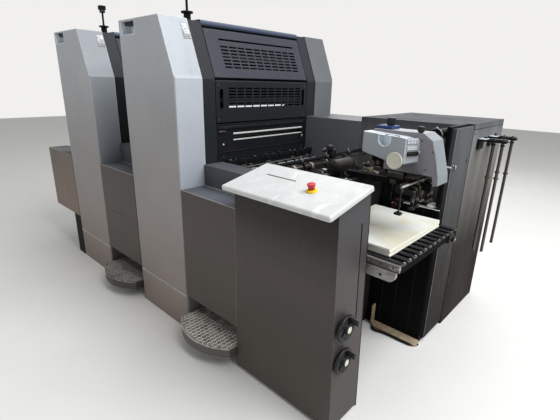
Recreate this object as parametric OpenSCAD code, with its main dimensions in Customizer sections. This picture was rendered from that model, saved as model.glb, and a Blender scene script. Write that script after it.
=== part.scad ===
// Two-colour sheet-fed offset press, in millimetres.
// +X runs towards the feeder, -Y is the operator side and Z = 0 is the floor.
// Inside the modules X = 0 is the feeder face of the second unit and Y = 0 the operator side.

/* [Printing units] */
// Length of one unit along the press
unit_l = 507; // [440:1:600]
// Height of a unit
unit_h = 1660; // [1560:1:1760]
// Height where the feeder side starts to slope back
kink_h = 1380; // [1320:1:1420]
// How far the slope leans back at the top
slope_in = 110; // [80:1:150]
// Distance from one unit to the next
unit_pitch = 957; // [860:1:1100]
// Depth of the silver operator column
column_d = 160; // [130:1:200]
// Thickness of a side frame
frame_t = 80; // [60:1:100]
// Clear width between the side frames
guard_w = 745; // [700:1:800]
// Depth of the cover on the drive side
drive_cover_d = 195; // [150:1:250]
// How far frames and guards lie behind the columns
face_set = 4; // [2:1:8]
// Rounding of the column's upright edges
column_r = 12; // [6:1:20]
// Left end, foot, length and height of the notch at a column's top
notch = [27, 1587, 143, 65];
// Depth of the notch
notch_d = 60; // [30:1:90]
// Height of the seam above a column's kick plate
kick_h = 220; // [180:1:260]

/* [Guards] */
// Depth of a guard over its flanges
guard_t = 18; // [14:1:24]
// Sheet thickness of a guard
guard_sheet = 4; // [3:0.5:6]
// Gap round a guard that opens
guard_gap = 5; // [5:0.5:8]
// Radius of a hinge pin
pin_r = 6; // [4:0.5:7]
// Lower guard's hinge below the kink
hinge_drop = 12; // [10:1:40]
// Lower guard from hinge to bottom edge
low_guard_h = 208; // [190:1:215]
// Upper guard from hinge to lower edge
up_guard_h = 250; // [235:1:252]
// Ventilation slots along a guard
slot_cols = 10; // [6:1:12]
// Rows of ventilation slots
slot_rows = 7; // [4:1:7]
// Pitch of the slots along the guard
slot_pitch = 59.6; // [54:0.1:60]
// First slot from the guard's operator end
slot_side = 86; // [80:1:88]
// Length of one slot
slot_l = 51; // [40:1:52]
// Height of one slot
slot_h = 9.5; // [7:0.1:11]
// Upper guard's first row below the hinge and the pitch of its rows
upper_rows = [80, 18.3];
// Lower guard's first row below the hinge and the pitch of its rows
lower_rows = [28, 15.7];
// Upper guard's long slot below the hinge and its height
long_slot = [42, 10];

/* [Bed and covers] */
// Height of the plinth under the covers
plinth_h = 233; // [200:1:260]
// Top of the bed between the side walls
bed_h = 870; // [840:1:900]
// Side walls above the bed
wall_rise = 80; // [60:1:110]
// Low covers on the operator side, below the bed's top
low_cover_drop = 32; // [10:1:70]
// Depth of the low covers
low_cover_d = 150; // [120:1:158]
// Free length between the second unit and the control box
feed_gap = 421; // [380:1:450]
// Thickness of the feed table
table_t = 25; // [20:1:30]
// Length from the control box's start to the front of the pile
bed_reach = 244; // [230:1:280]

/* [Foot steps] */
// Top of a foot step
step_h = 120; // [100:1:160]
// Depth of its skirt
step_skirt = 55; // [25:1:60]
// Radius of its round front
step_r = 300; // [260:1:340]
// Half the width of a step
step_half = 203; // [170:1:204]
// How far a step stands out in front of the covers
step_out = 122; // [90:1:150]

/* [Control box] */
// Length of the control box at its foot
box_l = 572; // [540:1:620]
// How far the box's feeder end leans in at the desk
box_lean = 27; // [0:1:40]
// Depth of the control box
box_d = 200; // [170:1:210]
// Desk top at its front edge
desk_front_h = 962; // [940:1:990]
// Slope of the desk in degrees
desk_tilt = 12.5; // [8:0.5:18]
// How far the desk stands out in front
desk_out = 80; // [60:1:100]
// Ends of the desk, each measured from the box's foot to its inside
desk_ends = [4, 10];
// Thickness of the desk
desk_t = 20; // [16:1:34]
// Radius of a handwheel
wheel_r = 56; // [45:1:65]
// Heights of the two handwheels
wheel_h = [334, 484];
// Distance of the handwheels from the front
wheel_y = 56; // [50:1:110]
// Heights between which the slot in the feeder end runs
end_slot = [470, 880];

/* [Feeder] */
// Length of the pile board
board_l = 435; // [400:1:460]
// Width of the pile board
board_w = 572; // [540:1:600]
// Top of the pile board's ribs below the bed's top
board_drop = 155; // [130:1:220]
// Number of ribs on the board
board_ribs = 12; // [8:1:14]
// Sheet length and width of the paper on the board
sheet = [353, 500];
// Height of the paper pile
paper_h = 35; // [10:1:60]
// Running clearance round the board
board_gap = 10; // [6:1:12]
// Top of the suction head above the bed
head_rise = 320; // [300:1:340]
// Suction head's front box beyond the front of the pile
head_in = 110; // [100:1:130]
// Length of the head's front box
head_l = 198; // [180:1:220]
// Width of the head's front box and of its cover
head_w = [70, 105];
// Cover beyond the end of the front box
cover_reach = 121; // [110:1:130]
// Radius of the feeder's motor
motor_r = 36; // [28:1:37]

/* [Cabinet] */
// Depth of the cabinet behind the press
cabinet_d = 655; // [600:1:700]
// Height of the cabinet
cabinet_h = 1192; // [1170:1:1240]
// Thickness of the cabinet's lid and of the same strip along the wall beside it
lid_t = 27; // [20:1:40]
// Width of the cabinet door
door_w = 247; // [220:1:255]
// Thickness of the door and of the panel beside it
door_t = 20; // [16:1:24]
// Length of a rod in the rack
rod_l = 620; // [500:1:740]
// How far the rack's arms reach out
rack_reach = 140; // [125:1:160]
// Rods that hang in each of the rack's two arms
rod_count = 2; // [1:1:2]
// Pitch of the rods along an arm
rod_pitch = 43; // [41:1:50]
// Distance between the two arms
arm_pitch = 185; // [120:1:240]

/* [Delivery] */
// Length of the delivery beyond the first unit
delivery_l = 488; // [430:1:560]
// Top of the delivery below the bed's top
delivery_drop = 58; // [30:1:90]
// Underside of the delivery
delivery_z = 330; // [280:1:380]
// Length of the delivery's foot
delivery_foot = 110; // [80:1:160]

/* [Hidden] */
$fn = 48;
unit_w = column_d + 2 * frame_t + guard_w + drive_cover_d;
in_y0 = column_d + frame_t;
in_y1 = in_y0 + guard_w;
slope_a = atan(slope_in / (unit_h - kink_h));
unit_x = [-unit_pitch - unit_l, -unit_l];
box_x0 = feed_gap;
box_x1 = feed_gap + box_l;
face_x = box_x1 + 24;
bed_x0 = unit_x[0];
bed_x1 = feed_gap + bed_reach;
end_x = bed_x0 - delivery_l;
wall_h = bed_h + wall_rise;
low_cover_h = bed_h - low_cover_drop;
delivery_h = bed_h - delivery_drop;
drive_wall_h = cabinet_h - lid_t;
table_h = bed_h + table_t;
board_h = bed_h - board_drop;
board_set = 6;
board_x0 = bed_x1 + board_set;
board_x1 = bed_x1 + board_l;
board_y0 = in_y0 + 16;
board_y1 = board_y0 + board_w;
bay_y = board_y1 + board_gap;
cabinet_x1 = face_x - 40;
cabinet_y1 = in_y1 + cabinet_d;
panel_gap = 6;
door_y1 = bay_y + 17 + door_w;
seat_gap = 0.3;
hinge_r = (door_t - seat_gap) / 2;
disc_r = 20;
mid_x = (end_x + max(face_x + rack_reach, board_x1)) / 2;
mid_y = (cabinet_y1 - step_out) / 2;

silver = "#c4c9cd";
charcoal = "#3a3c40";
brown_grey = "#4b4844";
black = "#1c1d1f";
off_white = "#e8e8e3";
light_grey = "#a3a8ad";
steel = "#b8b8b4";

// Moves the press from its working datum to the middle of its footprint
module place() {
    translate([-mid_x, -mid_y, 0])
        children();
}

// Box between two corners
module block(a, b) {
    translate(a)
        cube(b - a);
}

// Side view of a unit, set in from the outer faces
module unit_side(set = 0, foot = 0, top = unit_h, back = 0) {
    x_kink = unit_l - set;
    x_top = x_kink - (top - kink_h) * tan(slope_a);
    polygon([[back, foot], [x_kink, foot], [x_kink, kink_h], [x_top, top], [back, top]]);
}

// Extrudes a side view between two depths
module across(y0, y1) {
    translate([0, y1, 0])
        rotate([90, 0, 0])
            linear_extrude(y1 - y0)
                children();
}

// Rounded rectangle in plan
module round_rect(l, w, r) {
    translate([r, 0])
        square([l - 2 * r, w]);
    translate([0, r])
        square([l, w - 2 * r]);
    for (x = [r, l - r], y = [r, w - r])
        translate([x, y])
            circle(r);
}

// Rod along Y
module y_rod(x, z, r, y0, y1) {
    translate([x, y0, z])
        rotate([-90, 0, 0])
            cylinder(r = r, h = y1 - y0);
}

// Rod along X
module x_rod(y, z, r, x0, x1) {
    translate([x0, y, z])
        rotate([0, 90, 0])
            cylinder(r = r, h = x1 - x0);
}

// A point on the slope, a distance up from the kink and a depth behind the face
function on_slope(s, depth) = [
    unit_l - s * sin(slope_a) - depth * cos(slope_a),
    kink_h + s * cos(slope_a) - depth * sin(slope_a)
];

barrel_r = guard_t / 2;
hinge_in = face_set + barrel_r;
slope_len = norm([slope_in, unit_h - kink_h]);
up_hinge_at = slope_len - 38.8;
bore_depth = 12;
low_hinge = [unit_l - hinge_in, kink_h - hinge_drop];
up_hinge = on_slope(up_hinge_at, hinge_in);

// Printing units

// Keeps the front upright edges of something round, seen in plan
module front_rounded(l, w, r, h) {
    intersection() {
        children();
        linear_extrude(h)
            union() {
                round_rect(l, w, r);
                translate([0, w / 2])
                    square([l, w / 2]);
            }
    }
}

seam = 3;

// Silver operator column with a notch at its top
module column() {
    difference() {
        front_rounded(unit_l, column_d, column_r, unit_h)
            across(0, column_d)
                unit_side();
        translate([notch[0], -1, notch[1]])
            cube([notch[2], notch_d + 1, notch[3]]);
        translate([-1, -1, kick_h])
            cube([unit_l + 2, 1 + seam, seam]);
    }
}

module columns() {
    color(silver)
        for (x = unit_x)
            translate([x, 0, 0])
                column();
}

module side_frame_pair(n) {
    for (y = [column_d, in_y1])
        translate([unit_x[n], 0, 0])
            difference() {
                across(y, y + frame_t)
                    unit_side(set = face_set, foot = plinth_h, top = unit_h - face_set);
                for (p = [low_hinge, up_hinge])
                    y_rod(p[0], p[1], pin_r + 0.05, in_y0 - bore_depth, in_y1 + bore_depth);
            }
}

module side_frames() {
    color(charcoal)
        for (n = [0, 1])
            side_frame_pair(n);
}

core_set = 150;
core_foot = bed_h + 75;
lid_z = unit_h - 24;

module unit_cores() {
    color(black)
        for (n = [0, 1])
            translate([unit_x[n], 0, 0])
                across(in_y0, in_y1)
                    unit_side(set = core_set, foot = core_foot, top = lid_z);
}

roller_r = 36;
roller_set = 74;
upright_rollers = [kink_h - 305, kink_h - 200, kink_h - 118, kink_h - 36];
slope_rollers = [68, slope_len / 2 - 7.5, slope_len - 83];

module ink_rollers() {
    color("#2b2b2e")
        for (n = [0, 1])
            translate([unit_x[n], 0, 0]) {
                for (z = upright_rollers)
                    y_rod(unit_l - roller_set, z, roller_r, in_y0, in_y1);
                for (s = slope_rollers)
                    let (p = on_slope(s, roller_set))
                        y_rod(p[0], p[1], roller_r, in_y0, in_y1);
            }
}

module drive_covers() {
    color("#5d5f62")
        for (n = [0, 1])
            translate([unit_x[n], 0, 0])
                intersection() {
                    across(in_y1 + frame_t, unit_w)
                        unit_side();
                    translate([0, in_y1 + frame_t, 0])
                        linear_extrude(unit_h)
                            union() {
                                round_rect(unit_l, drive_cover_d, column_r);
                                square([unit_l, drive_cover_d / 2]);
                            }
                }
}

lid_nose = 15;

module top_lids() {
    color("#33363c")
        for (n = [0, 1])
            translate([unit_x[n], 0, 0])
                across(in_y0, in_y1) {
                    nose_x = unit_l - (unit_h - 4 - kink_h) * tan(slope_a) - lid_nose + 2;
                    translate([0, lid_z])
                        square([nose_x, 2 * lid_nose]);
                    translate([nose_x, lid_z + lid_nose])
                        circle(lid_nose);
                }
}

pin_out = guard_gap + bore_depth - 2;
grip_l = 80;
grip_h = 24;
grip_in = 36;
grip_drop = 85;

// Guard with louvre slots, hung from a hinge at the origin, outer side towards +X
module louvre_guard(h, rows, top_slot, hand_holds) {
    w = guard_w - 2 * guard_gap;
    slots_l = (slot_cols - 1) * slot_pitch + slot_l;
    translate([0, in_y0 + guard_gap, 0])
        difference() {
            union() {
                y_rod(0, 0, barrel_r, 0, w);
                y_rod(0, 0, pin_r, -pin_out, w + pin_out);
                block([-barrel_r, 0, -h], [barrel_r, w, 0]);
            }
            block([-barrel_r - 1, guard_sheet, -h + guard_sheet],
                  [barrel_r - guard_sheet, w - guard_sheet, -barrel_r - 1]);
            for (row = [0 : slot_rows - 1], col = [0 : slot_cols - 1])
                translate([0, slot_side + col * slot_pitch, -rows[0] - row * rows[1] - slot_h])
                    cube([barrel_r + 1, slot_l, slot_h]);
            if (top_slot)
                translate([0, slot_side, -long_slot[0] - long_slot[1]])
                    cube([barrel_r + 1, slots_l, long_slot[1]]);
            if (hand_holds)
                for (y = [grip_in, w - grip_in])
                    translate([0, y, -grip_drop])
                        rotate([0, 90, 0])
                            linear_extrude(barrel_r + 1)
                                union() {
                                    square([grip_l, grip_h], center = true);
                                    for (x = [-grip_l / 2, grip_l / 2])
                                        translate([x, 0])
                                            circle(grip_h / 2);
                                }
        }
}

module upper_guard(n) {
    color("#55575b")
        translate([unit_x[n] + up_hinge[0], 0, up_hinge[1]])
            rotate([0, -slope_a, 0])
                louvre_guard(up_guard_h, upper_rows, true, false);
}

module lower_guard(n) {
    color("#3c3e42")
        translate([unit_x[n] + low_hinge[0], 0, low_hinge[1]])
            louvre_guard(low_guard_h, lower_rows, false, true);
}

cover_top = low_hinge[1] - low_guard_h - guard_gap - 3;
cover_foot = bed_h + 80;
cover_t = 26;
cover_slot_l = 0.792 * guard_w;
cover_slot_h = 0.21 * (cover_top - cover_foot);
cover_slot_in = 0.157 * guard_w;
cover_slot_drop = 0.25 * (cover_top - cover_foot);

module slot_covers() {
    color("#34363a")
        for (n = [0, 1])
            translate([unit_x[n], 0, 0])
                difference() {
                    block([unit_l - face_set - cover_t, in_y0, cover_foot],
                          [unit_l - face_set, in_y1, cover_top]);
                    translate([unit_l - 40, in_y0 + cover_slot_in, cover_top - cover_slot_drop - cover_slot_h])
                        cube([60, cover_slot_l, cover_slot_h]);
                }
}

post_h = 98;
post_head = 36;
post_x = 0.68 * unit_l;

module sensor_posts() {
    color(black)
        for (n = [0, 1])
            translate([unit_x[n] + post_x, column_d + frame_t / 2, unit_h - face_set]) {
                cylinder(r = post_head / 2, h = post_head);
                translate([0, 0, post_head])
                    cylinder(r = 30, h = 8);
                translate([0, 0, post_head + 8])
                    cylinder(r = 6, h = post_h);
                translate([-post_head / 2, -post_head / 2, post_head + 6 + post_h])
                    cube([post_head, post_head, 24]);
            }
}

// Bed, walls and covers

module bed() {
    color(black)
        union() {
            block([bed_x0, column_d, 0], [0, in_y1 + frame_t, plinth_h]);
            block([0, column_d, 0], [feed_gap, in_y1, plinth_h]);
            block([feed_gap, in_y0, 0], [bed_x1, in_y1, plinth_h]);
            block([bed_x0, in_y0, plinth_h], [bed_x1, in_y1, bed_h]);
        }
}

ledge_d = 35;
ledge_t = 10;

module bed_walls() {
    color(charcoal) {
        for (x = [[unit_x[0] + unit_l, unit_x[1]], [0, feed_gap]]) {
            block([x[0], low_cover_d, plinth_h], [x[1], in_y0, wall_h - ledge_t]);
            block([x[0], low_cover_d, wall_h - ledge_t], [x[1], in_y0 + ledge_d, wall_h]);
        }
        block([unit_x[0] + unit_l, in_y1, plinth_h], [unit_x[1], unit_w, wall_h]);
        block([0, in_y1, 0], [feed_gap, unit_w, drive_wall_h]);
    }
}

mid_seam_h = 525;

module low_covers() {
    color(brown_grey) {
        difference() {
            block([unit_x[0] + unit_l, 0, plinth_h], [unit_x[1], low_cover_d, low_cover_h - 13]);
            block([unit_x[0], -1, mid_seam_h], [unit_x[1], seam, mid_seam_h + seam]);
        }
        block([0, 0, plinth_h], [feed_gap, low_cover_d, low_cover_h]);
    }
}

module foot_step(x) {
    translate([x, 0, step_h - step_skirt])
        intersection() {
            linear_extrude(step_skirt)
                translate([0, step_r - step_out])
                    union() {
                        circle(step_r);
                        translate([-step_r, 0])
                            square([2 * step_r, step_r]);
                    }
            block([-step_half, -step_out - 1, 0], [step_half, column_d, step_skirt]);
        }
}

module foot_steps() {
    color(steel) {
        foot_step((unit_x[0] + unit_l + unit_x[1]) / 2);
        foot_step(feed_gap / 2);
    }
}

// Control box

desk_back = 7;
desk_w = (box_d + desk_out - desk_back) / cos(desk_tilt);
function desk_top(y) = desk_front_h + (y + desk_out) * tan(desk_tilt);
tilt_fit = 0.02;
desk_drop = desk_t / cos(desk_tilt) + tilt_fit;

box_foot = 15;
wheel_clear = 5.5;
wheel_off = wheel_clear - box_lean * (wheel_h[0] - wheel_r) / desk_front_h;
end_slot_w = 9;
axle_r = 9;

module control_box() {
    color(brown_grey)
        difference() {
            union() {
                intersection() {
                    translate([box_x0, 0, 0])
                        rotate([90, 0, 90])
                            linear_extrude(box_l)
                                polygon([
                                    [0, box_foot], [box_d, box_foot],
                                    [box_d, desk_top(box_d) - desk_drop],
                                    [0, desk_top(0) - desk_drop]
                                ]);
                    across(0, box_d)
                        polygon([
                            [box_x0, 0], [box_x1, 0],
                            [box_x1 - box_lean * desk_top(box_d) / desk_front_h, desk_top(box_d)],
                            [box_x0, desk_top(box_d)]
                        ]);
                }
                block([box_x0 + 20, 20, 0], [box_x1 - 20, box_d, box_foot]);
                for (z = wheel_h) {
                    x_rod(wheel_y, z, 22, box_x1 - box_lean, box_x1 + wheel_off);
                    x_rod(wheel_y, z, axle_r, box_x1 - box_lean, box_x1 + wheel_off + 16);
                }
            }
            block([box_x1 - box_lean - 14, box_d - 52, end_slot[0]],
                  [box_x1 + 1, box_d - 52 + end_slot_w, end_slot[1]]);
        }
}

module control_desk() {
    r = desk_t / 2;
    color(off_white)
        translate([box_x0 + desk_ends[0], -desk_out, desk_front_h])
            rotate([desk_tilt, 0, 0])
                hull()
                    for (x = [r, box_l - desk_ends[0] - desk_ends[1] - r], y = [r, desk_w - r])
                        translate([x, y, 0]) {
                            translate([0, 0, -r])
                                sphere(r, $fn = 32);
                            translate([0, 0, -desk_t])
                                cylinder(r = r, h = 1, $fn = 32);
                        }
}

// Puts something on the desk, standing square to it
module on_desk(x, y) {
    translate([x, y, desk_top(y)])
        rotate([desk_tilt, 0, 0])
            children();
}

stop_at = [box_x1 - 187, 47];
stop_base_h = 8;
stop_travel = 6;
stem_r = 10;

module stop_base() {
    color("#e2b91c")
        on_desk(stop_at[0], stop_at[1])
            difference() {
                cylinder(r = 23, h = stop_base_h);
                translate([0, 0, 1])
                    cylinder(r = stem_r + 0.05, h = stop_base_h);
            }
}

module stop_button() {
    color("#c8202a")
        on_desk(stop_at[0], stop_at[1]) {
            translate([0, 0, stop_base_h - seat_gap])
                cylinder(r = stem_r, h = stop_travel + 2);
            translate([0, 0, stop_base_h + stop_travel + 1])
                cylinder(r = 18, h = 14);
        }
}

wheel_t = 14;
grip_at = [-27, 20];
crank_l = 36;

module handwheel(z) {
    color(black)
        translate([box_x1 + wheel_off + seat_gap, wheel_y, z])
            rotate([0, 90, 0])
                difference() {
                    union() {
                        cylinder(r = 20, h = wheel_t + 9);
                        cylinder(r = wheel_r, h = wheel_t);
                        translate([grip_at[0], grip_at[1], wheel_t])
                            cylinder(r = 11, h = crank_l);
                    }
                    translate([0, 0, -1])
                        cylinder(r = axle_r + 0.05, h = 18);
                }
}

// Feeder

plate_h = wall_h + 35;

module feeder_frame() {
    color(black) {
        block([box_x0, box_d + 2, 0], [bed_x1, in_y0, wall_h]);
        across(box_d + 2, box_d + 12)
            polygon([
                [bed_x1, 0], [box_x1 - 3, 0],
                [box_x1 - 3 - box_lean * plate_h / desk_front_h, plate_h],
                [bed_x1, plate_h]
            ]);
    }
}

groove_w = 50;
grooves = 6;

module feed_table() {
    color("#2c2e31")
        difference() {
            block([0, in_y0, bed_h], [bed_x1, in_y1, table_h]);
            for (i = [0 : grooves - 1])
                translate([80, in_y0 + 60 + i * 2 * groove_w, table_h - 4])
                    cube([bed_x1 - 120, groove_w, 5]);
        }
}

bar_r = 9;
bar_at = [bed_x1 - 225, table_h + 105];
rear_bar_at = [bed_x1 - 65, table_h + 23];
lay_h = 65;
lay_x = 28;
arm_w = 6;

// Cover of the front lays and two bars across the feed table, the upper one with hold-down wheels
module feed_bars() {
    color(black) {
        block([lay_x, in_y0 + ledge_d, table_h], [lay_x + 26, in_y1, table_h + lay_h]);
        y_rod(rear_bar_at[0], rear_bar_at[1], bar_r, in_y0, in_y1);
        union() {
            block([bar_at[0] - 14, in_y0 - 40, wall_h], [bar_at[0] + 14, in_y0 - 12, bar_at[1] + 14]);
            y_rod(bar_at[0], bar_at[1], bar_r, in_y0 - 26, in_y1);
            for (share = [0.255, 0.537, 0.819]) {
                y = in_y0 + share * guard_w;
                across(y - arm_w / 2, y + arm_w / 2)
                    translate(bar_at)
                        polygon([[-8, 0], [0, 8], [56, -82], [44, -88]]);
                y_rod(bar_at[0] + 50, table_h + 16.3, 16, y - 8, y + 8);
            }
            translate([bar_at[0], in_y0 + 417, bar_at[1]])
                cylinder(r = 13, h = 54);
            y_rod(bar_at[0], bar_at[1] + 32, 7, in_y0 + 365, in_y0 + 417);
        }
    }
}

motor_at = [bed_x1 - 91, table_h + 84];
motor_y = [500, 650];

module feed_motor() {
    color(black) {
        y_rod(motor_at[0], motor_at[1], motor_r, motor_y[0], motor_y[1]);
        y_rod(motor_at[0], motor_at[1], 18, motor_y[0] - 10, motor_y[0]);
        block([motor_at[0] - 14, motor_y[0] + 50, table_h], [motor_at[0] + 14, motor_y[0] + 90, motor_at[1]]);
    }
}

shaft_z = table_h + 25;
shaft_x = 300;
shaft_wheels = 4;

module pull_shaft() {
    color("#4a4542") {
        y_rod(shaft_x, shaft_z, 12, in_y0 + seat_gap, in_y1 - seat_gap);
        for (i = [0 : shaft_wheels - 1])
            y_rod(shaft_x, shaft_z, 20, in_y0 + 120 + i * 150, in_y0 + 145 + i * 150);
    }
}

beam_z = table_h + 30;
beam_w = 40;
arm_t = 25;
arm_z = beam_z + arm_t;
head_h = bed_h + head_rise;
head_y = 420;
head_x0 = bed_x1 + head_in;
head_x1 = head_x0 + head_l;
cover_y = head_y + head_w[0];
cover_y1 = cover_y + head_w[1];
cover_x1 = head_x1 + cover_reach;
cover_foot_h = head_h - 168;
arm_y = cover_y + head_w[1] / 2;
stop_h = 50;
front_stops = 5;
stop_pitch = 0.148 * guard_w;

module pile_front_stop() {
    color(black)
        for (i = [0 : front_stops - 1])
            block([bed_x1 - 12, in_y0 + 50 + i * stop_pitch, table_h],
                  [bed_x1, in_y0 + 100 + i * stop_pitch, table_h + stop_h]);
}

module head_beam() {
    color("#3b3b3d") {
        block([head_x0 - 85, box_d + 12, beam_z], [head_x0 - 85 + beam_w, in_y1, arm_z]);
        block([head_x0 - 135, arm_y - 17, arm_z], [head_x1 + 87, arm_y + 17, arm_z + arm_t]);
    }
}

u_notch_r = 28;
u_notch_d = 30;
u_notch_at = [0.53 * head_l, 33];
end_lean = 30;
end_r = 10;

// Front box of the head, its lower edge falling towards the pile's rear edge and its end set askew
module suction_head() {
    long_l = head_l + end_lean;
    color("#a9afb5")
        difference() {
            translate([head_x0, head_y, 0])
                intersection() {
                    across(0, head_w[0])
                        polygon([
                            [0, head_h - 91], [head_l - 64, head_h - 120], [head_l - 34, head_h - 128],
                            [head_l - 6, head_h - 124], [long_l, head_h - 116], [long_l, head_h - 34],
                            [long_l - 8, head_h - 24], [head_l - 20, head_h - 17], [0, head_h - 8]
                        ]);
                    linear_extrude(head_h)
                        union() {
                            translate([end_r, end_r])
                                circle(end_r);
                            polygon([
                                [end_r, 0], [head_l, 0], [long_l, head_w[0]], [0, head_w[0]], [0, end_r]
                            ]);
                        }
                }
            translate([head_x0 + u_notch_at[0], head_y - 1, head_h - u_notch_at[1]])
                rotate([-90, 0, 0])
                    cylinder(r = u_notch_r, h = u_notch_d);
            translate([head_x0 + u_notch_at[0] - u_notch_r, head_y - 1, head_h - u_notch_at[1]])
                cube([2 * u_notch_r, u_notch_d, 50]);
        }
}

module head_cover() {
    color("#b3b9bd")
        across(cover_y, cover_y1)
            polygon([
                [head_x0 + 77, cover_foot_h], [cover_x1 - 23, cover_foot_h],
                [cover_x1 - 16, cover_foot_h - 40], [cover_x1 + 4, cover_foot_h - 34],
                [cover_x1, cover_foot_h + 4], [cover_x1 - 40, head_h - 26],
                [cover_x1 - 80, head_h], [head_x0 + 15, head_h],
                [head_x0 + 15, head_h - 90], [head_x0 + 77, head_h - 90]
            ]);
}

badge_r = 35;

module head_badge() {
    color("#d8d6c2")
        y_rod(head_x1 - 37, head_h - 112, badge_r, head_y - 5, head_y);
}

// A point on the box's askew end, a way behind its front and a way out from the face
function on_end(y, out) = [
    head_x1 + end_lean * y / head_w[0] + out,
    head_y + y - out * end_lean / head_w[0]
];

// Two knobs, one on a blue base, and the strip of controls on the box's end
module head_knobs() {
    color(black) {
        translate([head_x1 + 27, cover_y + 16, head_h])
            cylinder(r = 12, h = 26);
        block([head_x0 + 20, cover_y + 20, head_h], [head_x0 + 87, cover_y1 - 8, head_h + 12]);
        translate([head_x0 + 66, cover_y + 52, head_h + 12])
            cylinder(r = 16, h = 26);
        translate([0, 0, head_h - 90])
            linear_extrude(18)
                polygon([on_end(14, tilt_fit), on_end(14, 9), on_end(62, 9), on_end(62, tilt_fit)]);
    }
}

sucker_x = head_x1 + 47;
sucker_foot = table_h - 15;
sucker_bar_z = arm_z + arm_t + 6;
feeler_at = [head_x1 + 23, head_y - 35];
feeler_foot = table_h - 29;

// Slide block, blast pipes and drive under the cover, sucker bar with four suckers and the sheet feeler
module sucker_unit() {
    color("#6c6a66") {
        union() {
            block([head_x0 + 85, arm_y - 25, arm_z + arm_t + seat_gap],
                  [head_x0 + 165, arm_y + 25, cover_foot_h]);
            block([head_x0 + 10, cover_y + 12, cover_foot_h + 2],
                  [head_x0 + 74, cover_y1 - 12, head_h - 90]);
            block([head_x0 + 74, cover_y + 20, cover_foot_h - 20],
                  [head_x0 + 86, cover_y1 - 20, cover_foot_h]);
            block([head_x0 + 60, cover_y + 20, cover_foot_h - 6],
                  [head_x0 + 76, cover_y1 - 20, cover_foot_h + 10]);
            y_rod(head_x0 + 20, cover_foot_h + 14, 12, cover_y + 2, cover_y + 12);
            y_rod(head_x0 + 50, cover_foot_h + 22, 9, cover_y - 4, cover_y + 12);
        }
        union() {
            block([sucker_x - 35, cover_y - 60, sucker_bar_z], [sucker_x + 15, cover_y1 + 55, cover_foot_h]);
            block([feeler_at[0] - 6, feeler_at[1] - 7, sucker_bar_z],
                  [feeler_at[0] + 9, cover_y - 60, sucker_bar_z + 14]);
            translate([feeler_at[0], feeler_at[1], feeler_foot])
                cylinder(r = 4, h = sucker_bar_z - feeler_foot + 2);
            block([feeler_at[0] - 16, feeler_at[1] - 12, feeler_foot],
                  [feeler_at[0] + 14, feeler_at[1] + 12, feeler_foot + 14]);
            for (y = [cover_y - 40, cover_y, cover_y1 + 5, cover_y1 + 40]) {
                translate([sucker_x, y, sucker_foot + 10])
                    cylinder(r = 7, h = sucker_bar_z - sucker_foot);
                translate([sucker_x, y, sucker_foot])
                    cylinder(r = 14, h = 10);
            }
        }
    }
}

duct_r = 22;
duct_z = cabinet_h - 37;

module air_duct() {
    color(black) {
        y_rod(head_x1 - 29, duct_z, duct_r, in_y1 - 185, in_y1);
        y_rod(head_x1 - 29, duct_z, duct_r + 5, in_y1 - 195, in_y1 - 165);
    }
}

edge_t = 8;
rib_w = 30;
rib_t = 14;

// Ribbed board on two lift shoes, with an edge bar and a roller at its rear
module pile_board() {
    color(black)
        union() {
            block([board_x0, board_y0, board_h - 26], [board_x1, board_y1, board_h - 12]);
            block([board_x1 - edge_t, board_y0, board_h - 34], [board_x1, board_y1, board_h - 3]);
            for (i = [0 : board_ribs - 1])
                translate([board_x0, board_y0 + i * (board_w - rib_w) / (board_ribs - 1), board_h - rib_t])
                    cube([board_l - board_set - edge_t, rib_w, rib_t]);
            for (y = [board_y0 + 80, board_y1 - 80])
                block([bed_x1 + seat_gap, y - 20, board_h - 24], [board_x0 + 1, y + 20, board_h - 14]);
            y_rod(board_x1 - 12, board_h - 40, 12, board_y1 - 85, board_y1 - 30);
        }
}

rail_t = 15;
rail_x0 = board_x0 + 29;
rail_r = 30;
rail_tier = 27;
rail_plate = 50;

// Two-tier rail on the board's operator edge, its lower plate with one round corner
module board_rail() {
    plate_l = board_x1 - 17 - rail_x0;
    color("#9a9690")
        union() {
            block([rail_x0, board_y0 - rail_t, board_h - 2 - rail_tier], [board_x1 - 4, board_y0, board_h - 2]);
            across(board_y0 - rail_t, board_y0)
                translate([rail_x0, board_h - 2 - rail_tier - rail_plate]) {
                    square([plate_l - rail_r, rail_plate]);
                    translate([0, rail_r])
                        square([plate_l, rail_plate - rail_r]);
                    translate([plate_l - rail_r, rail_r])
                        circle(rail_r);
                }
        }
}

paper_y = board_y0 + (board_w - sheet[1]) / 2 - 4;

module paper_pile() {
    color("#ece9dc")
        block([board_x0 + 2, paper_y, board_h], [board_x0 + 2 + sheet[0], paper_y + sheet[1], board_h + paper_h]);
}

rail_h = board_h + 67;

module bay_wall() {
    color(black)
        union() {
            block([bed_x1, bay_y, 0], [cabinet_x1, in_y1, rail_h]);
            block([cabinet_x1, bay_y, 0], [face_x - door_t, door_y1 + panel_gap, cabinet_h]);
        }
}

sill_t = 16;
sill_d = 60;
sill_r = 26;
sill_curl = 130;

// Worn threshold at the foot of the bay wall, with a strip that turns up at its front end
module bay_sill() {
    sill_x0 = bed_x1 + 62;
    color("#a58d70")
        union() {
            translate([sill_x0, bay_y - sill_d, 0])
                linear_extrude(sill_t)
                    round_rect(face_x - sill_x0 - 8, sill_d, sill_r);
            block([face_x - 26, bay_y - sill_d + sill_r, 0], [face_x - door_t, bay_y, sill_t]);
            block([sill_x0 - 14, bay_y - 34, 0], [sill_x0 - 8, bay_y, sill_curl]);
            block([sill_x0 - 14, bay_y - 34, 0], [sill_x0 + sill_r, bay_y, sill_t]);
        }
}

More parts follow.
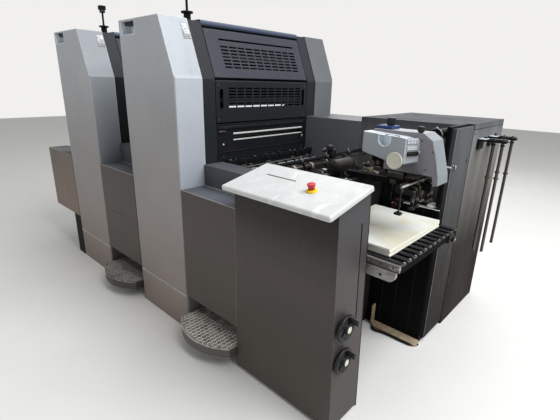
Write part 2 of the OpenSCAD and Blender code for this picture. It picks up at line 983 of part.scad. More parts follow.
// Bright bar on the bay wall with the side lay's bracket
module side_guide() {
    color(steel) {
        block([head_x0 + 38, bay_y + 2, rail_h], [cabinet_x1 - 4, bay_y + 12, rail_h + 7]);
        block([cabinet_x1 - 38, bay_y + 12, rail_h], [cabinet_x1 - 8, bay_y + 34, rail_h + 22]);
        block([bed_x1 + 55, bay_y + 2, rail_h], [bed_x1 + 70, bay_y + 34, rail_h + 124]);
    }
}

// Cabinet

module cabinet() {
    color("#4d4f52")
        block([feed_gap, in_y1, 0], [cabinet_x1, cabinet_y1, drive_wall_h]);
}

module cabinet_lid() {
    color("#56585b")
        block([feed_gap, in_y1, drive_wall_h], [cabinet_x1, cabinet_y1, cabinet_h]);
}

module cabinet_panel() {
    color("#57595c")
        block([cabinet_x1, door_y1 + panel_gap, 0], [face_x, cabinet_y1, cabinet_h]);
}

door_foot = 30;
door_top = cabinet_h - 10;

module cabinet_door() {
    color("#57595c") {
        translate([face_x - hinge_r, door_y1 - hinge_r, door_foot])
            cylinder(r = hinge_r, h = door_top - door_foot);
        block([face_x - 2 * hinge_r, door_y1 - door_w, door_foot], [face_x, door_y1 - hinge_r, door_top]);
        x_rod(door_y1 - door_w + 32, cabinet_h - 192, 11, face_x - 1, face_x + 10);
    }
}

rack_z = cabinet_h - 82;
rack_t = 10;
rod_y = [in_y1 + 220, in_y1 + 220 + arm_pitch];
rod_x1 = face_x + rack_reach - disc_r;
rod_r = 8;
rod_collar = 202;

// Places something at every rod
module at_rods() {
    for (y = rod_y, i = [0 : rod_count - 1])
        translate([rod_x1 - i * rod_pitch, y, rack_z])
            children();
}

// Two arms on one bracket each
module rod_rack() {
    color(black)
        difference() {
            for (y = rod_y)
                union() {
                    block([face_x, y - disc_r, rack_z - rack_t], [face_x + rack_reach, y + disc_r, rack_z]);
                    block([face_x, y - disc_r, rack_z - 55], [face_x + 12, y + 60, rack_z]);
                    block([face_x, y - disc_r, rack_z - rack_t], [face_x + 45, y + 60, rack_z]);
                }
            at_rods()
                translate([0, 0, -rack_t - 1])
                    cylinder(r = rod_r + 1, h = rack_t + 2);
        }
}

module hanging_rods() {
    color("#2a2826")
        at_rods()
            union() {
                cylinder(r = disc_r, h = 8);
                translate([0, 0, -rod_l])
                    cylinder(r = rod_r, h = rod_l + 4);
                translate([0, 0, -rod_collar])
                    cylinder(r = 1.6 * rod_r, h = 10);
            }
}

// Delivery

module delivery_covers() {
    color(brown_grey) {
        block([end_x, 0, delivery_z], [bed_x0, low_cover_d, delivery_h]);
        block([end_x, in_y1, delivery_z], [bed_x0, unit_w, delivery_h]);
    }
}

floor_t = 80;

module delivery_frame() {
    color(black)
        union() {
            block([bed_x0 - delivery_foot, 0, 0], [bed_x0, unit_w, delivery_z]);
            block([end_x, low_cover_d, delivery_z], [bed_x0, in_y1, delivery_z + floor_t]);
            block([end_x, low_cover_d, delivery_z], [end_x + 30, in_y1, delivery_h - 100]);
        }
}

place() columns();
place() side_frames();
place() unit_cores();
place() ink_rollers();
place() drive_covers();
place() upper_guard(0);  // upper_guard_1
place() upper_guard(1);  // upper_guard_2
place() lower_guard(0);  // lower_guard_1
place() lower_guard(1);  // lower_guard_2
place() slot_covers();
place() top_lids();
place() sensor_posts();
place() bed();
place() bed_walls();
place() low_covers();
place() foot_steps();
place() control_box();
place() control_desk();
place() stop_base();
place() stop_button();
place() handwheel(wheel_h[1]);  // handwheel_upper
place() handwheel(wheel_h[0]);  // handwheel_lower
place() feeder_frame();
place() feed_table();
place() feed_bars();
place() feed_motor();
place() pull_shaft();
place() pile_front_stop();
place() head_beam();
place() suction_head();
place() head_cover();
place() head_badge();
place() head_knobs();
place() sucker_unit();
place() air_duct();
place() pile_board();
place() board_rail();
place() paper_pile();
place() bay_wall();
place() bay_sill();
place() side_guide();
place() cabinet();
place() cabinet_lid();
place() cabinet_panel();
place() cabinet_door();
place() rod_rack();
place() hanging_rods();
place() delivery_covers();
place() delivery_frame();
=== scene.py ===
import math
import random

import bmesh
import bpy
from mathutils import Matrix, Vector


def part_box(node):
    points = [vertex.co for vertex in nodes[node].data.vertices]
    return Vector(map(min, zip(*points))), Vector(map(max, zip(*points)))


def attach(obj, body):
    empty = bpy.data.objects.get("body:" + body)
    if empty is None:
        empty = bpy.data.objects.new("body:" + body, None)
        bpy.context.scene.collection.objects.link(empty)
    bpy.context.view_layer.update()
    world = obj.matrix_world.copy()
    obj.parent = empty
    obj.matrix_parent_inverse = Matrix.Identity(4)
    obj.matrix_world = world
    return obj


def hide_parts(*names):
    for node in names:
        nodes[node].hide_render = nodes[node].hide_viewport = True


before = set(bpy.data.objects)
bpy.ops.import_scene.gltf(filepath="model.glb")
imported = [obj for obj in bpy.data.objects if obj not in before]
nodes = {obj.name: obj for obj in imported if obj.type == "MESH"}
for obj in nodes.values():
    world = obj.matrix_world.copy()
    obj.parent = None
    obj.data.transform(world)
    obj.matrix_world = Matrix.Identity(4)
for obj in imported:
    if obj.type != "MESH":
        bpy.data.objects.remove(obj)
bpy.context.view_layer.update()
dice = random.Random(7)

# The press is measured in millimetres from the feeder face of its second unit, the operator
# side and the floor. The control box gives where that point lies in the frame.
boxLow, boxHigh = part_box("control_box")
datum = Vector((boxLow.x - 0.421, boxLow.y, 0.0))


def at(x, y, z):
    return datum + Vector((x, y, z)) / 1000


# Camera

camera = {
    "place": (1658.0, -1052.2, 1370.0),
    "right": (0.73067, 0.68234, 0.02327),
    "up": (-0.22969, 0.21357, 0.94954),
    "lens": 24.83,
}


def placeCamera():
    lens = bpy.data.cameras.new("camera")
    lens.lens = camera["lens"]
    lens.sensor_width = 36
    lens.clip_start = 0.05
    view = bpy.data.objects.new("camera", lens)
    bpy.context.scene.collection.objects.link(view)
    right = Vector(camera["right"]).normalized()
    up = Vector(camera["up"])
    up = (up - up.dot(right) * right).normalized()
    back = right.cross(up)
    turn = Matrix((right, up, back)).transposed().to_4x4()
    view.matrix_world = Matrix.Translation(at(*camera["place"])) @ turn
    bpy.context.scene.camera = view


placeCamera()
print("camera in place")


# Shader maths

class Wire:
    # A shader socket. Operators on it add Math nodes to the same paint.
    def __init__(self, paint, socket):
        self.paint = paint
        self.socket = socket

    def maths(self, operation, first, second=0.0):
        return self.paint.node("ShaderNodeMath", {"operation": operation}, {0: first, 1: second})

    def __add__(self, other):
        return self.maths("ADD", self, other)

    def __radd__(self, other):
        return self.maths("ADD", other, self)

    def __sub__(self, other):
        return self.maths("SUBTRACT", self, other)

    def __rsub__(self, other):
        return self.maths("SUBTRACT", other, self)

    def __mul__(self, other):
        return self.maths("MULTIPLY", self, other)

    def __abs__(self):
        return self.maths("ABSOLUTE", self)


def rgb(code):
    # Web colour code to linear light
    parts = [int(code[i:i + 2], 16) / 255 for i in (1, 3, 5)]
    return tuple(p / 12.92 if p <= 0.04045 else ((p + 0.055) / 1.055) ** 2.4 for p in parts) + (1.0,)


class Paint:
    # A material or world with its nodes; every texture is laid out in metres on the press itself
    def __init__(self, name, shelf=bpy.data.materials):
        self.material = shelf.new(name)
        self.material.use_nodes = True
        self.tree = self.material.node_tree
        self.tree.nodes.clear()
        self.place = self.node("ShaderNodeTexCoord", out="Object")
        self.parts = None

    def node(self, kind, settings=None, sockets=None, out=0):
        made = self.tree.nodes.new(kind)
        for key, value in (settings or {}).items():
            if key == "stops":
                self.setStops(made.color_ramp, value)
            else:
                setattr(made, key, value)
        for key, value in (sockets or {}).items():
            if isinstance(value, Wire):
                self.tree.links.new(value.socket, made.inputs[key])
            else:
                made.inputs[key].default_value = value
        return Wire(self, made.outputs[out]) if len(made.outputs) else None

    def setStops(self, ramp, stops):
        while len(ramp.elements) < len(stops):
            ramp.elements.new(0.5)
        for element, (position, colour) in zip(ramp.elements, stops):
            element.position = position
            element.color = colour

    def along(self, axis):
        if self.parts is None:
            self.parts = [self.node("ShaderNodeSeparateXYZ", None, {0: self.place}, name) for name in "XYZ"]
        return self.parts["xyz".index(axis)]

    def flat(self):
        # The place in plan, without its height
        return self.node("ShaderNodeVectorMath", {"operation": "MULTIPLY"},
                         {0: self.place, 1: (1.0, 1.0, 0.0)})

    def noise(self, scale, detail=4.0, rough=0.55, stretch=(1, 1, 1), shift=(0, 0, 0)):
        spot = self.node("ShaderNodeMapping", None,
                         {"Vector": self.place, "Scale": stretch, "Location": shift})
        return self.node("ShaderNodeTexNoise", None,
                         {"Vector": spot, "Scale": scale, "Detail": detail, "Roughness": rough})

    def fade(self, value, low, high, first=0.0, last=1.0):
        # Runs smoothly from first to last while value goes from low to high
        return self.node("ShaderNodeMapRange", {"interpolation_type": "SMOOTHSTEP"},
                         {"Value": value, "From Min": low, "From Max": high, "To Min": first, "To Max": last})

    def inside(self, low, high, soft=0.0005):
        # 1 inside a box given by two corners in press millimetres, where None leaves an axis open
        mask = None
        corner = datum * 1000
        for axis, shift, a, b in zip("xyz", corner, low, high):
            if a is None:
                continue
            spot = self.along(axis)
            start, end = (a + shift) / 1000, (b + shift) / 1000
            side = self.fade(spot, start - soft, start + soft) * self.fade(spot, end - soft, end + soft, 1.0,
                                                                           0.0)
            mask = side if mask is None else mask * side
        return mask

    def mix(self, share, first, second, blend="MIX"):
        return self.node("ShaderNodeMix", {"data_type": "RGBA", "blend_type": blend},
                         {0: share, 6: first, 7: second}, 2)

    def ramp(self, value, stops):
        return self.node("ShaderNodeValToRGB", {"stops": stops}, {0: value})

    def dim(self, colour, factor):
        grey = self.node("ShaderNodeCombineXYZ", None, {0: factor, 1: factor, 2: factor})
        return self.mix(1.0, colour, grey, "MULTIPLY")

    def tint(self, share, colour, tone):
        return self.mix(share, colour, rgb(tone))

    def byHeight(self, tones):
        # Tones at heights in millimetres, from the floor upwards
        top = tones[-1][0]
        return self.ramp(self.along("z") * (1000 / top),
                         [(height / top, rgb(tone)) for height, tone in tones])

    def facing(self, axis, low, high):
        # 1 where the surface looks along the axis
        normal = self.node("ShaderNodeNewGeometry", out="Normal")
        return self.fade(self.node("ShaderNodeSeparateXYZ", None, {0: normal}, axis), low, high)

    def edges(self, radius):
        # 1 where the surface turns a corner, where worn edges and painted edge highlights go; also gives the
        # rounded normal
        rounded = self.node("ShaderNodeBevel", {"samples": 4}, {"Radius": radius})
        flat = self.node("ShaderNodeNewGeometry", out="Normal")
        turn = self.node("ShaderNodeVectorMath", {"operation": "DOT_PRODUCT"}, {0: rounded, 1: flat}, "Value")
        return self.fade(turn, 0.99, 0.85), rounded

    def bump(self, height, strength, distance, normal=None):
        sockets = {"Strength": strength, "Distance": distance, "Height": height}
        if normal is not None:
            sockets["Normal"] = normal
        return self.node("ShaderNodeBump", None, sockets)

    def finish(self, colour, roughness, metallic=0.0, normal=None, coat=0.0, coatRoughness=0.1, ior=1.5):
        sockets = {"Base Color": colour, "Roughness": roughness, "Metallic": metallic, "IOR": ior,
                   "Coat Weight": coat, "Coat Roughness": coatRoughness}
        if normal is not None:
            sockets["Normal"] = normal
        shader = self.node("ShaderNodeBsdfPrincipled", None, sockets)
        self.node("ShaderNodeOutputMaterial", None, {"Surface": shader})
        return self.material


def wear(name, look):
    # A worked surface: tone by height, own tones for surfaces facing +X and facing up as painted light and
    # shade, clouds, patches, smudges, fine scratches, and worn edges lightened also as painted edge
    # highlights
    paint = Paint(name)
    colour = paint.byHeight(look["tones"]) if "tones" in look else rgb(look["base"])
    # Surfaces facing +X take the side tones, painted light and shade on that side; sideRun darkens them along
    # x as painted shade
    if "side" in look:
        side = paint.byHeight(look["side"])
        if "sideRun" in look:
            side = paint.dim(side, paint.fade(paint.along("x"), *look["sideRun"]))
        colour = paint.mix(paint.facing("X", 0.6, 0.85), colour, side)
    # Surfaces facing up take the top tone, painted light from above
    if "top" in look:
        colour = paint.tint(paint.facing("Z", 0.6, 0.9), colour, look["top"])
    clouds = paint.noise(look.get("cloudScale", 2.4), 5.0, 0.6, look.get("cloudRun", (1, 1, 1)))
    spread = look.get("spread", 0.10)
    shade = paint.fade(clouds, 0.3, 0.7, 1.0 - spread, 1.0 + spread)
    colour = paint.dim(colour, shade)
    for patch in look.get("patches", []):
        mask = paint.inside(patch["low"], patch["high"], patch.get("soft", 0.0006))
        colour = paint.tint(mask, colour, patch["tone"])
    smudge = paint.noise(7.0, 6.0, 0.68, (1, 1, 0.55), (3.1, 0.4, 1.7))
    dirt = paint.fade(smudge, 0.52, 0.78, 0.0, look.get("smudge", 0.25))
    colour = paint.tint(dirt, colour, look.get("dirt", "#2a2622"))
    fine = paint.noise(420.0, 2.0, 0.5)
    scratch = paint.noise(26.0, 3.0, 0.45, look.get("scratchRun", (1.0, 1.0, 0.06)), (0.7, 2.2, 0.0))
    line = paint.fade(abs(scratch - 0.5), 0.0, 0.006, look.get("scratch", 0.10), 0.0)
    colour = paint.tint(line, colour, look.get("scratchTone", "#c9c6c0"))
    # Corners lighten towards edgeTone: worn paint together with a painted edge highlight
    corner, rounded = paint.edges(look.get("edgeRadius", 0.0025))
    wornAndLitEdges = corner * paint.fade(paint.noise(60.0, 3.0, 0.6), 0.35, 0.62, 0.35, 1.0)
    colour = paint.tint(wornAndLitEdges * look.get("edge", 0.35), colour, look.get("edgeTone", "#b9b9b6"))
    roughness = look["rough"] + dirt * 0.35 + fine * 0.06 - 0.03
    bump = paint.bump(fine + smudge * 0.5, look.get("bump", 0.12), 0.0004, rounded)
    return paint.finish(colour, roughness, look.get("metal", 0.0), bump,
                        look.get("coat", 0.0), 0.25, look.get("ior", 1.4))


def dress(finish, *names):
    for name in names:
        mesh = nodes[name].data
        mesh.materials.clear()
        mesh.materials.append(finish)


# Solids in press millimetres

def boxSolid(low, high):
    solid = bmesh.new()
    bmesh.ops.create_cube(solid, size=1.0)
    middle = (Vector(low) + Vector(high)) / 2
    size = Vector(high) - Vector(low)
    for corner in solid.verts:
        corner.co = middle + Vector([corner.co[i] * size[i] for i in range(3)])
    return solid


def skin(solid, rings, ends=True):
    # Faces between rings of as many corners; closes the two ends, or else joins the last ring to the first
    for first, second in zip(rings, rings[1:] if ends else rings[1:] + rings[:1]):
        for step, corner in enumerate(first):
            after = (step + 1) % len(first)
            solid.faces.new((corner, first[after], second[after], second[step]))
    if ends:
        solid.faces.new(list(reversed(rings[0])))
        solid.faces.new(rings[-1])
    return solid


def latheSolid(profile, place, axis, sides=32):
    # profile is a list of (way along the axis, radius), closed at both ends
    solid = bmesh.new()
    turn = Vector((0, 0, 1)).rotation_difference(Vector(axis)).to_matrix()
    rings = [[solid.verts.new(Vector(place) + turn @ Vector((radius * c, radius * s, way))) for c,
              s in around(sides)]
             for way, radius in profile]
    return skin(solid, rings)


def rodSolid(start, end, radius, sides=20):
    run = Vector(end) - Vector(start)
    return latheSolid([(0, radius), (run.length, radius)], start, run.normalized(), sides)


def outlineRing(solid, outline, axis, level):
    # Corners of a flat outline, given in the two other axes in the order x, y, z
    ring = []
    for a, b in outline:
        spot = [a, b]
        spot.insert("xyz".index(axis), level)
        ring.append(solid.verts.new(spot))
    return ring


def plateSolid(outline, axis, low, high):
    # A flat outline drawn out along one axis
    solid = bmesh.new()
    skin(solid, [outlineRing(solid, outline, axis, level) for level in (low, high)])
    bmesh.ops.recalc_face_normals(solid, faces=solid.faces[:])
    return solid


def rimSolid(outline, inner, axis, low, high):
    # A flat ring between two outlines with as many points
    solid = bmesh.new()
    rings = ((outline, low), (outline, high), (inner, high), (inner, low))
    skin(solid, [outlineRing(solid, ring, axis, level) for ring, level in rings], False)
    bmesh.ops.recalc_face_normals(solid, faces=solid.faces[:])
    return solid


def tubeSolid(points, radius, sides=10):
    # A round bar bent along its points
    solid = bmesh.new()
    spots = [Vector(p) for p in points]
    rings = []
    side = (spots[1] - spots[0]).normalized().orthogonal().normalized()
    for i, spot in enumerate(spots):
        run = (spots[min(i + 1, len(spots) - 1)] - spots[max(i - 1, 0)]).normalized()
        side = (side - side.dot(run) * run).normalized()
        other = run.cross(side)
        rings.append([solid.verts.new(spot + radius * (c * side + s * other)) for c, s in around(sides)])
    return skin(solid, rings)


def around(count, start=0.0):
    # Cosine and sine of evenly spaced angles, from a start in degrees
    turns = [math.radians(start) + 2 * math.pi * step / count for step in range(count)]
    return [(math.cos(t), math.sin(t)) for t in turns]


def arc(middle, radius, start, end, steps):
    # Points on a circle, angles in degrees
    turns = [math.radians(start + (end - start) * i / steps) for i in range(steps + 1)]
    return [(middle[0] + radius * math.cos(t), middle[1] + radius * math.sin(t)) for t in turns]


def smoothRun(points, between):
    # A smooth way through the points
    spots = [Vector(p) for p in points]
    spots = [spots[0] * 2 - spots[1]] + spots + [spots[-1] * 2 - spots[-2]]
    way = []
    for i in range(1, len(spots) - 2):
        for step in range(between):
            t = step / between
            a, b, c, d = spots[i - 1:i + 3]
            way.append(0.5 * (2 * b + (c - a) * t + (2 * a - 5 * b + 4 * c - d) * t ** 2
                              + (3 * b - a - 3 * c + d) * t ** 3))
    way.append(spots[-2])
    return way


class Build:
    # One piece put together from solids, each in one of its finishes
    def __init__(self, name, *finishes):
        self.name = name
        self.finishes = finishes
        self.mesh = bmesh.new()

    def add(self, solid, finish=0, bevel=0.0, steps=2, turn=None):
        if bevel:
            edges = [e for e in solid.edges if len(e.link_faces) == 2 and e.calc_face_angle() > 0.6]
            bmesh.ops.bevel(solid, geom=edges, offset=bevel, offset_type="OFFSET", segments=steps,
                            profile=0.5, affect="EDGES", clamp_overlap=True)
        if turn is not None:
            solid.transform(turn)
        for face in solid.faces:
            face.material_index = finish
            face.smooth = True
        part = bpy.data.meshes.new("part")
        solid.to_mesh(part)
        solid.free()
        self.mesh.from_mesh(part)
        bpy.data.meshes.remove(part)

    def box(self, low, high, finish=0, bevel=0.8, steps=2, turn=None):
        self.add(boxSolid(low, high), finish, bevel, steps, turn)

    def rod(self, start, end, radius, finish=0, bevel=0.0, sides=20, turn=None):
        self.add(rodSolid(start, end, radius, sides), finish, bevel, 2, turn)

    def lathe(self, profile, place, axis, finish=0, sides=32, turn=None):
        self.add(latheSolid(profile, place, axis, sides), finish, 0.0, 2, turn)

    def plate(self, outline, axis, low, high, finish=0, bevel=0.6, turn=None):
        self.add(plateSolid(outline, axis, low, high), finish, bevel, 2, turn)

    def tube(self, points, radius, finish=0, sides=10):
        self.add(tubeSolid(points, radius, sides), finish)

    def ring(self, middle, outer, inner, axis, low, high, finish, steps=36):
        circles = [[(middle[0] + r * c, middle[1] + r * s) for c, s in around(steps)] for r in (outer, inner)]
        self.add(rimSolid(*circles, axis, low, high), finish)

    def ribs(self, middle, reach, low, high, radius, count, finish, bevel):
        # Upright ribs of a knob
        for c, s in around(count):
            x, y = middle[0] + reach * c, middle[1] + reach * s
            self.rod((x, y, low), (x, y, high), radius, finish, bevel, 6)

    def screw(self, place, axis, radius=4.0, rise=2.2, finish=0):
        # A socket screw's head with its recess
        profile = [(0, radius), (rise * 0.7, radius), (rise, radius * 0.86), (rise, radius * 0.5),
                   (rise * 0.35, radius * 0.45)]
        self.lathe(profile, place, axis, finish, 12)

    def ride(self, body, slot, *replaced):
        mesh = bpy.data.meshes.new(self.name)
        for corner in self.mesh.verts:
            corner.co = at(*corner.co)
        self.mesh.to_mesh(mesh)
        self.mesh.free()
        for finish in self.finishes:
            mesh.materials.append(finish)
        mesh.set_sharp_from_angle(angle=math.radians(35))
        piece = bpy.data.objects.new(self.name, mesh)
        bpy.context.scene.collection.objects.link(piece)
        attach(piece, body)
        for node in replaced:
            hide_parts(node)
        return piece


# Paints of the housings. Tones run from the floor upwards, heights in millimetres. Side tones are painted
# light and shade on surfaces facing +X, top tones are painted light on upward surfaces, and edgeTone lightens
# corners as wear and painted highlight.

# Silver paint: the fronts turn warmer towards the floor as a painted warm floor reflection, and darker there.
# Side tones for the +X faces are painted light, lifted just above the trays where the lamps leave them in
# shade; sideRun darkens unit 1's sides as painted shade. The white edgeTone is worn paint with a painted
# highlight.
silverLook = {
    "tones": [(0, "#786b64"), (220, "#857b75"), (700, "#8f8a88"), (1200, "#9b9b9d"), (1450, "#a5a8ad"),
              (1660, "#a9adb3")],
    "side": [(0, "#7c7472"), (830, "#9a9fa6"), (1000, "#a9aeb6"), (1200, "#b1b6bc"), (1370, "#b3b8be"),
             (1400, "#a2a6ab"), (1660, "#a2a6ab")], "sideRun": (-0.3, 0.2, 0.64, 1.0),
    "rough": 0.50, "metal": 0.15, "smudge": 0.12, "dirt": "#6f675d", "scratch": 0.04, "edge": 0.95,
    "edgeTone": "#ffffff", "edgeRadius": 0.007, "cloudScale": 1.4, "spread": 0.06, "bump": 0.08, "ior": 1.35,
}
frameLook = {
    "tones": [(0, "#1f2325"), (1340, "#1f2325"), (1420, "#28292d"), (1660, "#2c2c32")],
    "rough": 0.46, "smudge": 0.22, "dirt": "#1d1c1b", "scratch": 0.08, "scratchTone": "#6f7276",
    "edge": 0.35, "edgeTone": "#6d7075", "ior": 1.22,
}
upperGuardLook = {
    "base": "#393b42", "rough": 0.44, "smudge": 0.18, "dirt": "#2b2a2c", "scratch": 0.07,
    "scratchTone": "#84868c", "edge": 0.35, "edgeTone": "#6d7077", "ior": 1.22,
}
lowerGuardLook = dict(upperGuardLook, base="#1d1f22", dirt="#121212", scratchTone="#54575a",
                      edgeTone="#4c4f53")
slotCoverLook = dict(lowerGuardLook, base="#15171a", smudge=0.35, dirt="#241d18")
# Lids: the pale blue edgeTone is worn paint with a painted highlight on the lit front edge
lidLook = dict(upperGuardLook, base="#485063", rough=0.3, edge=0.6, edgeTone="#8f9cb4", coat=0.3)
# Drive covers: the lighter side tones on their +X faces are painted light
driveLook = dict(upperGuardLook, base="#4c4d4f", dirt="#3b3937", edgeTone="#8f9193",
                 side=[(0, "#6a6c6f"), (1660, "#5c5e60")])
# Bed walls: the drive-side wall's face between y 983 and 992 mm is lightened, painted light on a face left in
# shade
wallLook = dict(upperGuardLook, base="#515257", dirt="#232221", edgeTone="#8b8d90", scratch=0.12, patches=[
    {"low": (None, 983.0, None), "high": (None, 992.0, None), "tone": "#6e6f73"},
])
warmLook = {
    "tones": [(0, "#403b35"), (300, "#423d38"), (600, "#49423e"), (850, "#47403d"), (1000, "#423d3a")],
    "rough": 0.46, "smudge": 0.16, "dirt": "#37322d", "scratch": 0.08, "scratchTone": "#857c73",
    "edge": 0.6, "edgeTone": "#a9a39b", "cloudScale": 1.6, "cloudRun": (1, 1, 0.5), "spread": 0.08,
    "ior": 1.35,
}
# Control box: the tones turn near black from 840 mm up as a painted shadow under the desk's overhang; side
# tones give the +X end its own painted light and shade
boxLook = dict(warmLook,
               tones=[(0, "#433d38"), (300, "#3f3a35"), (450, "#403b37"), (600, "#4a433f"), (730, "#403a37"),
                                (840, "#282422"), (930, "#1f1b1a"), (1000, "#1f1b1a")],
               side=[(0, "#3d3836"), (300, "#403a38"), (700, "#3f3b3b"), (1000, "#3c3b3f")])
deliveryLook = dict(warmLook, tones=[(0, "#6d6056"), (450, "#756459"), (820, "#665b54")])
# Cabinet paint: dark near the floor and lighter high up, painted shade low down and painted sheen towards the
# top
cabinetLook = {
    "tones": [(0, "#2f2a28"), (270, "#2b2827"), (480, "#2f2d2c"), (600, "#464340"), (790, "#625f5c"),
              (970, "#6c6a66"),
              (1130, "#68686a"), (1200, "#545558")],
    "rough": 0.62, "smudge": 0.25, "dirt": "#2a2725", "scratch": 0.22, "scratchTone": "#85817b",
    "edge": 0.3, "edgeTone": "#8f9194", "cloudRun": (1, 1, 0.18), "cloudScale": 4.5, "spread": 0.24,
    "ior": 1.07,
}
# Door: likewise darker low down as painted shade and lighter towards the top as painted sheen
doorLook = dict(cabinetLook,
                tones=[(0, "#2b2827"), (200, "#2e2c2b"), (500, "#3b3938"), (810, "#4a4a4a"),
                       (1200, "#545658")])
blackLook = {
    "base": "#17181a", "rough": 0.46, "smudge": 0.3, "dirt": "#2c2721", "scratch": 0.12,
    "scratchTone": "#4a4743", "edge": 0.25, "edgeTone": "#4c4c4e", "ior": 1.1,
}
bayLook = dict(blackLook, base="#111213", smudge=0.2, dirt="#15120f", scratch=0.05, edge=0.15, rough=0.5)
bedLook = dict(blackLook, base="#242424", smudge=0.5, dirt="#15120f", scratch=0.2, edge=0.6,
               edgeTone="#8b8782")
headLook = {
    "base": "#a0a5aa", "rough": 0.42, "smudge": 0.12, "dirt": "#5f6163", "scratch": 0.06,
    "scratchTone": "#c9ced2", "edge": 0.5, "edgeTone": "#c4cbd1", "edgeRadius": 0.003, "spread": 0.06,
    "ior": 1.35,
    # top tone: painted light on the head's upward faces
    "top": "#bcc1c6",
}
# Head cover: the top tone on upward faces is painted light; the tone on its operator-side face (y 489 to
# 491.5 mm) is partly grime and partly painted light and shade of that face
coverLook = dict(headLook, base="#798083", top="#888d91", patches=[
    {"low": (None, 489.0, None), "high": (None, 491.5, None), "tone": "#858388", "soft": 0.0004},
])

# Smaller finishes

brightLook = {
    "base": "#bdbdb8", "metal": 0.85, "rough": 0.28, "smudge": 0.2, "dirt": "#5c564d", "scratch": 0.2,
    "scratchTone": "#f2f2ee", "edge": 0.4, "edgeTone": "#f4f4f0", "edgeRadius": 0.001, "ior": 1.5,
}
oilyLook = dict(brightLook, base="#4b4843", metal=0.6, rough=0.38, smudge=0.5, dirt="#191511",
                edgeTone="#a9a49b")
# Near-black for the sucker carrier: its own black deepened as painted shade under the head
suckerLook = dict(blackLook, base="#171514", smudge=0.4, dirt="#2d241c", edge=0.4, edgeTone="#7a756d")
rodLook = dict(brightLook, base="#57504a", metal=0.75, rough=0.24, smudge=0.4, dirt="#15110d",
               edgeTone="#8b7f70",
               scratchRun=(1.0, 1.0, 0.3), scratchTone="#9c8a75")
mouldLook = {
    "base": "#131416", "rough": 0.42, "smudge": 0.2, "dirt": "#3a3631", "scratch": 0.06,
    "scratchTone": "#55565a",
    "edge": 0.3, "edgeTone": "#4f5257", "edgeRadius": 0.0012, "ior": 1.35,
}
creamLook = dict(mouldLook, base="#d8d6c6", dirt="#8f897a", edgeTone="#f1efe4", scratchTone="#b5b1a2",
                 spread=0.05)
paleLook = dict(creamLook, base="#e2edf4", dirt="#9aa6ad", edgeTone="#ffffff", scratchTone="#f3f7fa")


def tinted(name, look, tone, **more):
    return wear(name, dict(look, base=tone, **more))


silver = wear("silverPaint", silverLook)
frameGrey = wear("framePaint", frameLook)
black = wear("blackPaint", blackLook)
bright = wear("brightSteel", brightLook)
oily = wear("oilySteel", oilyLook)
moulded = wear("blackMoulding", mouldLook)
cream = wear("creamMoulding", creamLook)
pale = wear("paleLining", paleLook)
rodSteel = wear("rodSteel", rodLook)
slotBlack = wear("slotCoverPaint", slotCoverLook)
cabinetPaint = wear("cabinetPaint", cabinetLook)
# Dark brass for the sucker fittings, darkened as painted shade under the head
brassy = tinted("brass", brightLook, "#5f5136", rough=0.4, dirt="#211a12", edgeTone="#a39166")
beige = tinted("beigeFittings", creamLook, "#7b6d57", smudge=0.45, dirt="#4a4236")
blueEnamel = tinted("blueEnamel", mouldLook, "#1d3263", dirt="#141f3c", edgeTone="#4a639c")
redMoulding = tinted("redMoulding", mouldLook, "#c01c27", dirt="#7a1218", edgeTone="#e85a5c", smudge=0.1,
                     coat=0.4)
yellowMoulding = tinted("yellowMoulding", mouldLook, "#e7bd14", dirt="#8f7410", edgeTone="#f6df6e",
                        smudge=0.1)
rustRed = tinted("rustRed", mouldLook, "#4b2226", dirt="#1d1012", edgeTone="#a88f8c", smudge=0.4)
greenTape = tinted("greenTape", mouldLook, "#1f8f6d", dirt="#123d30", edgeTone="#5fc4a4", smudge=0.3)
beltRubber = tinted("beltRubber", mouldLook, "#3d332c", dirt="#15110e", rough=0.6, smudge=0.5)
# Light seam line: painted highlight
seamHighlight = tinted("seamHighlight", blackLook, "#77706a", edge=0.5, edgeTone="#a9a39b")
headLine = tinted("headSeam", mouldLook, "#7b7f84", edge=0.1)
bayBlack = tinted("bayFoldPaint", bayLook, "#17181a", edge=0.4, edgeTone="#3c3d3f")
cabinetSeam = tinted("cabinetSeam", blackLook, "#1d1d1f", edge=0.2)
whiteSteel = tinted("polishedEdge", brightLook, "#dededb", metal=0.35, rough=0.3, smudge=0.12, dirt="#8d8a84")
plateMark = tinted("bareLabel", creamLook, "#dfe4e8", dirt="#a3a8ac", smudge=0.1)
labelGrey = tinted("labelGrey", creamLook, "#c3c9cf", dirt="#8b9096", smudge=0.2)
capGrey = tinted("capGrey", mouldLook, "#7e8184", edge=0.2)


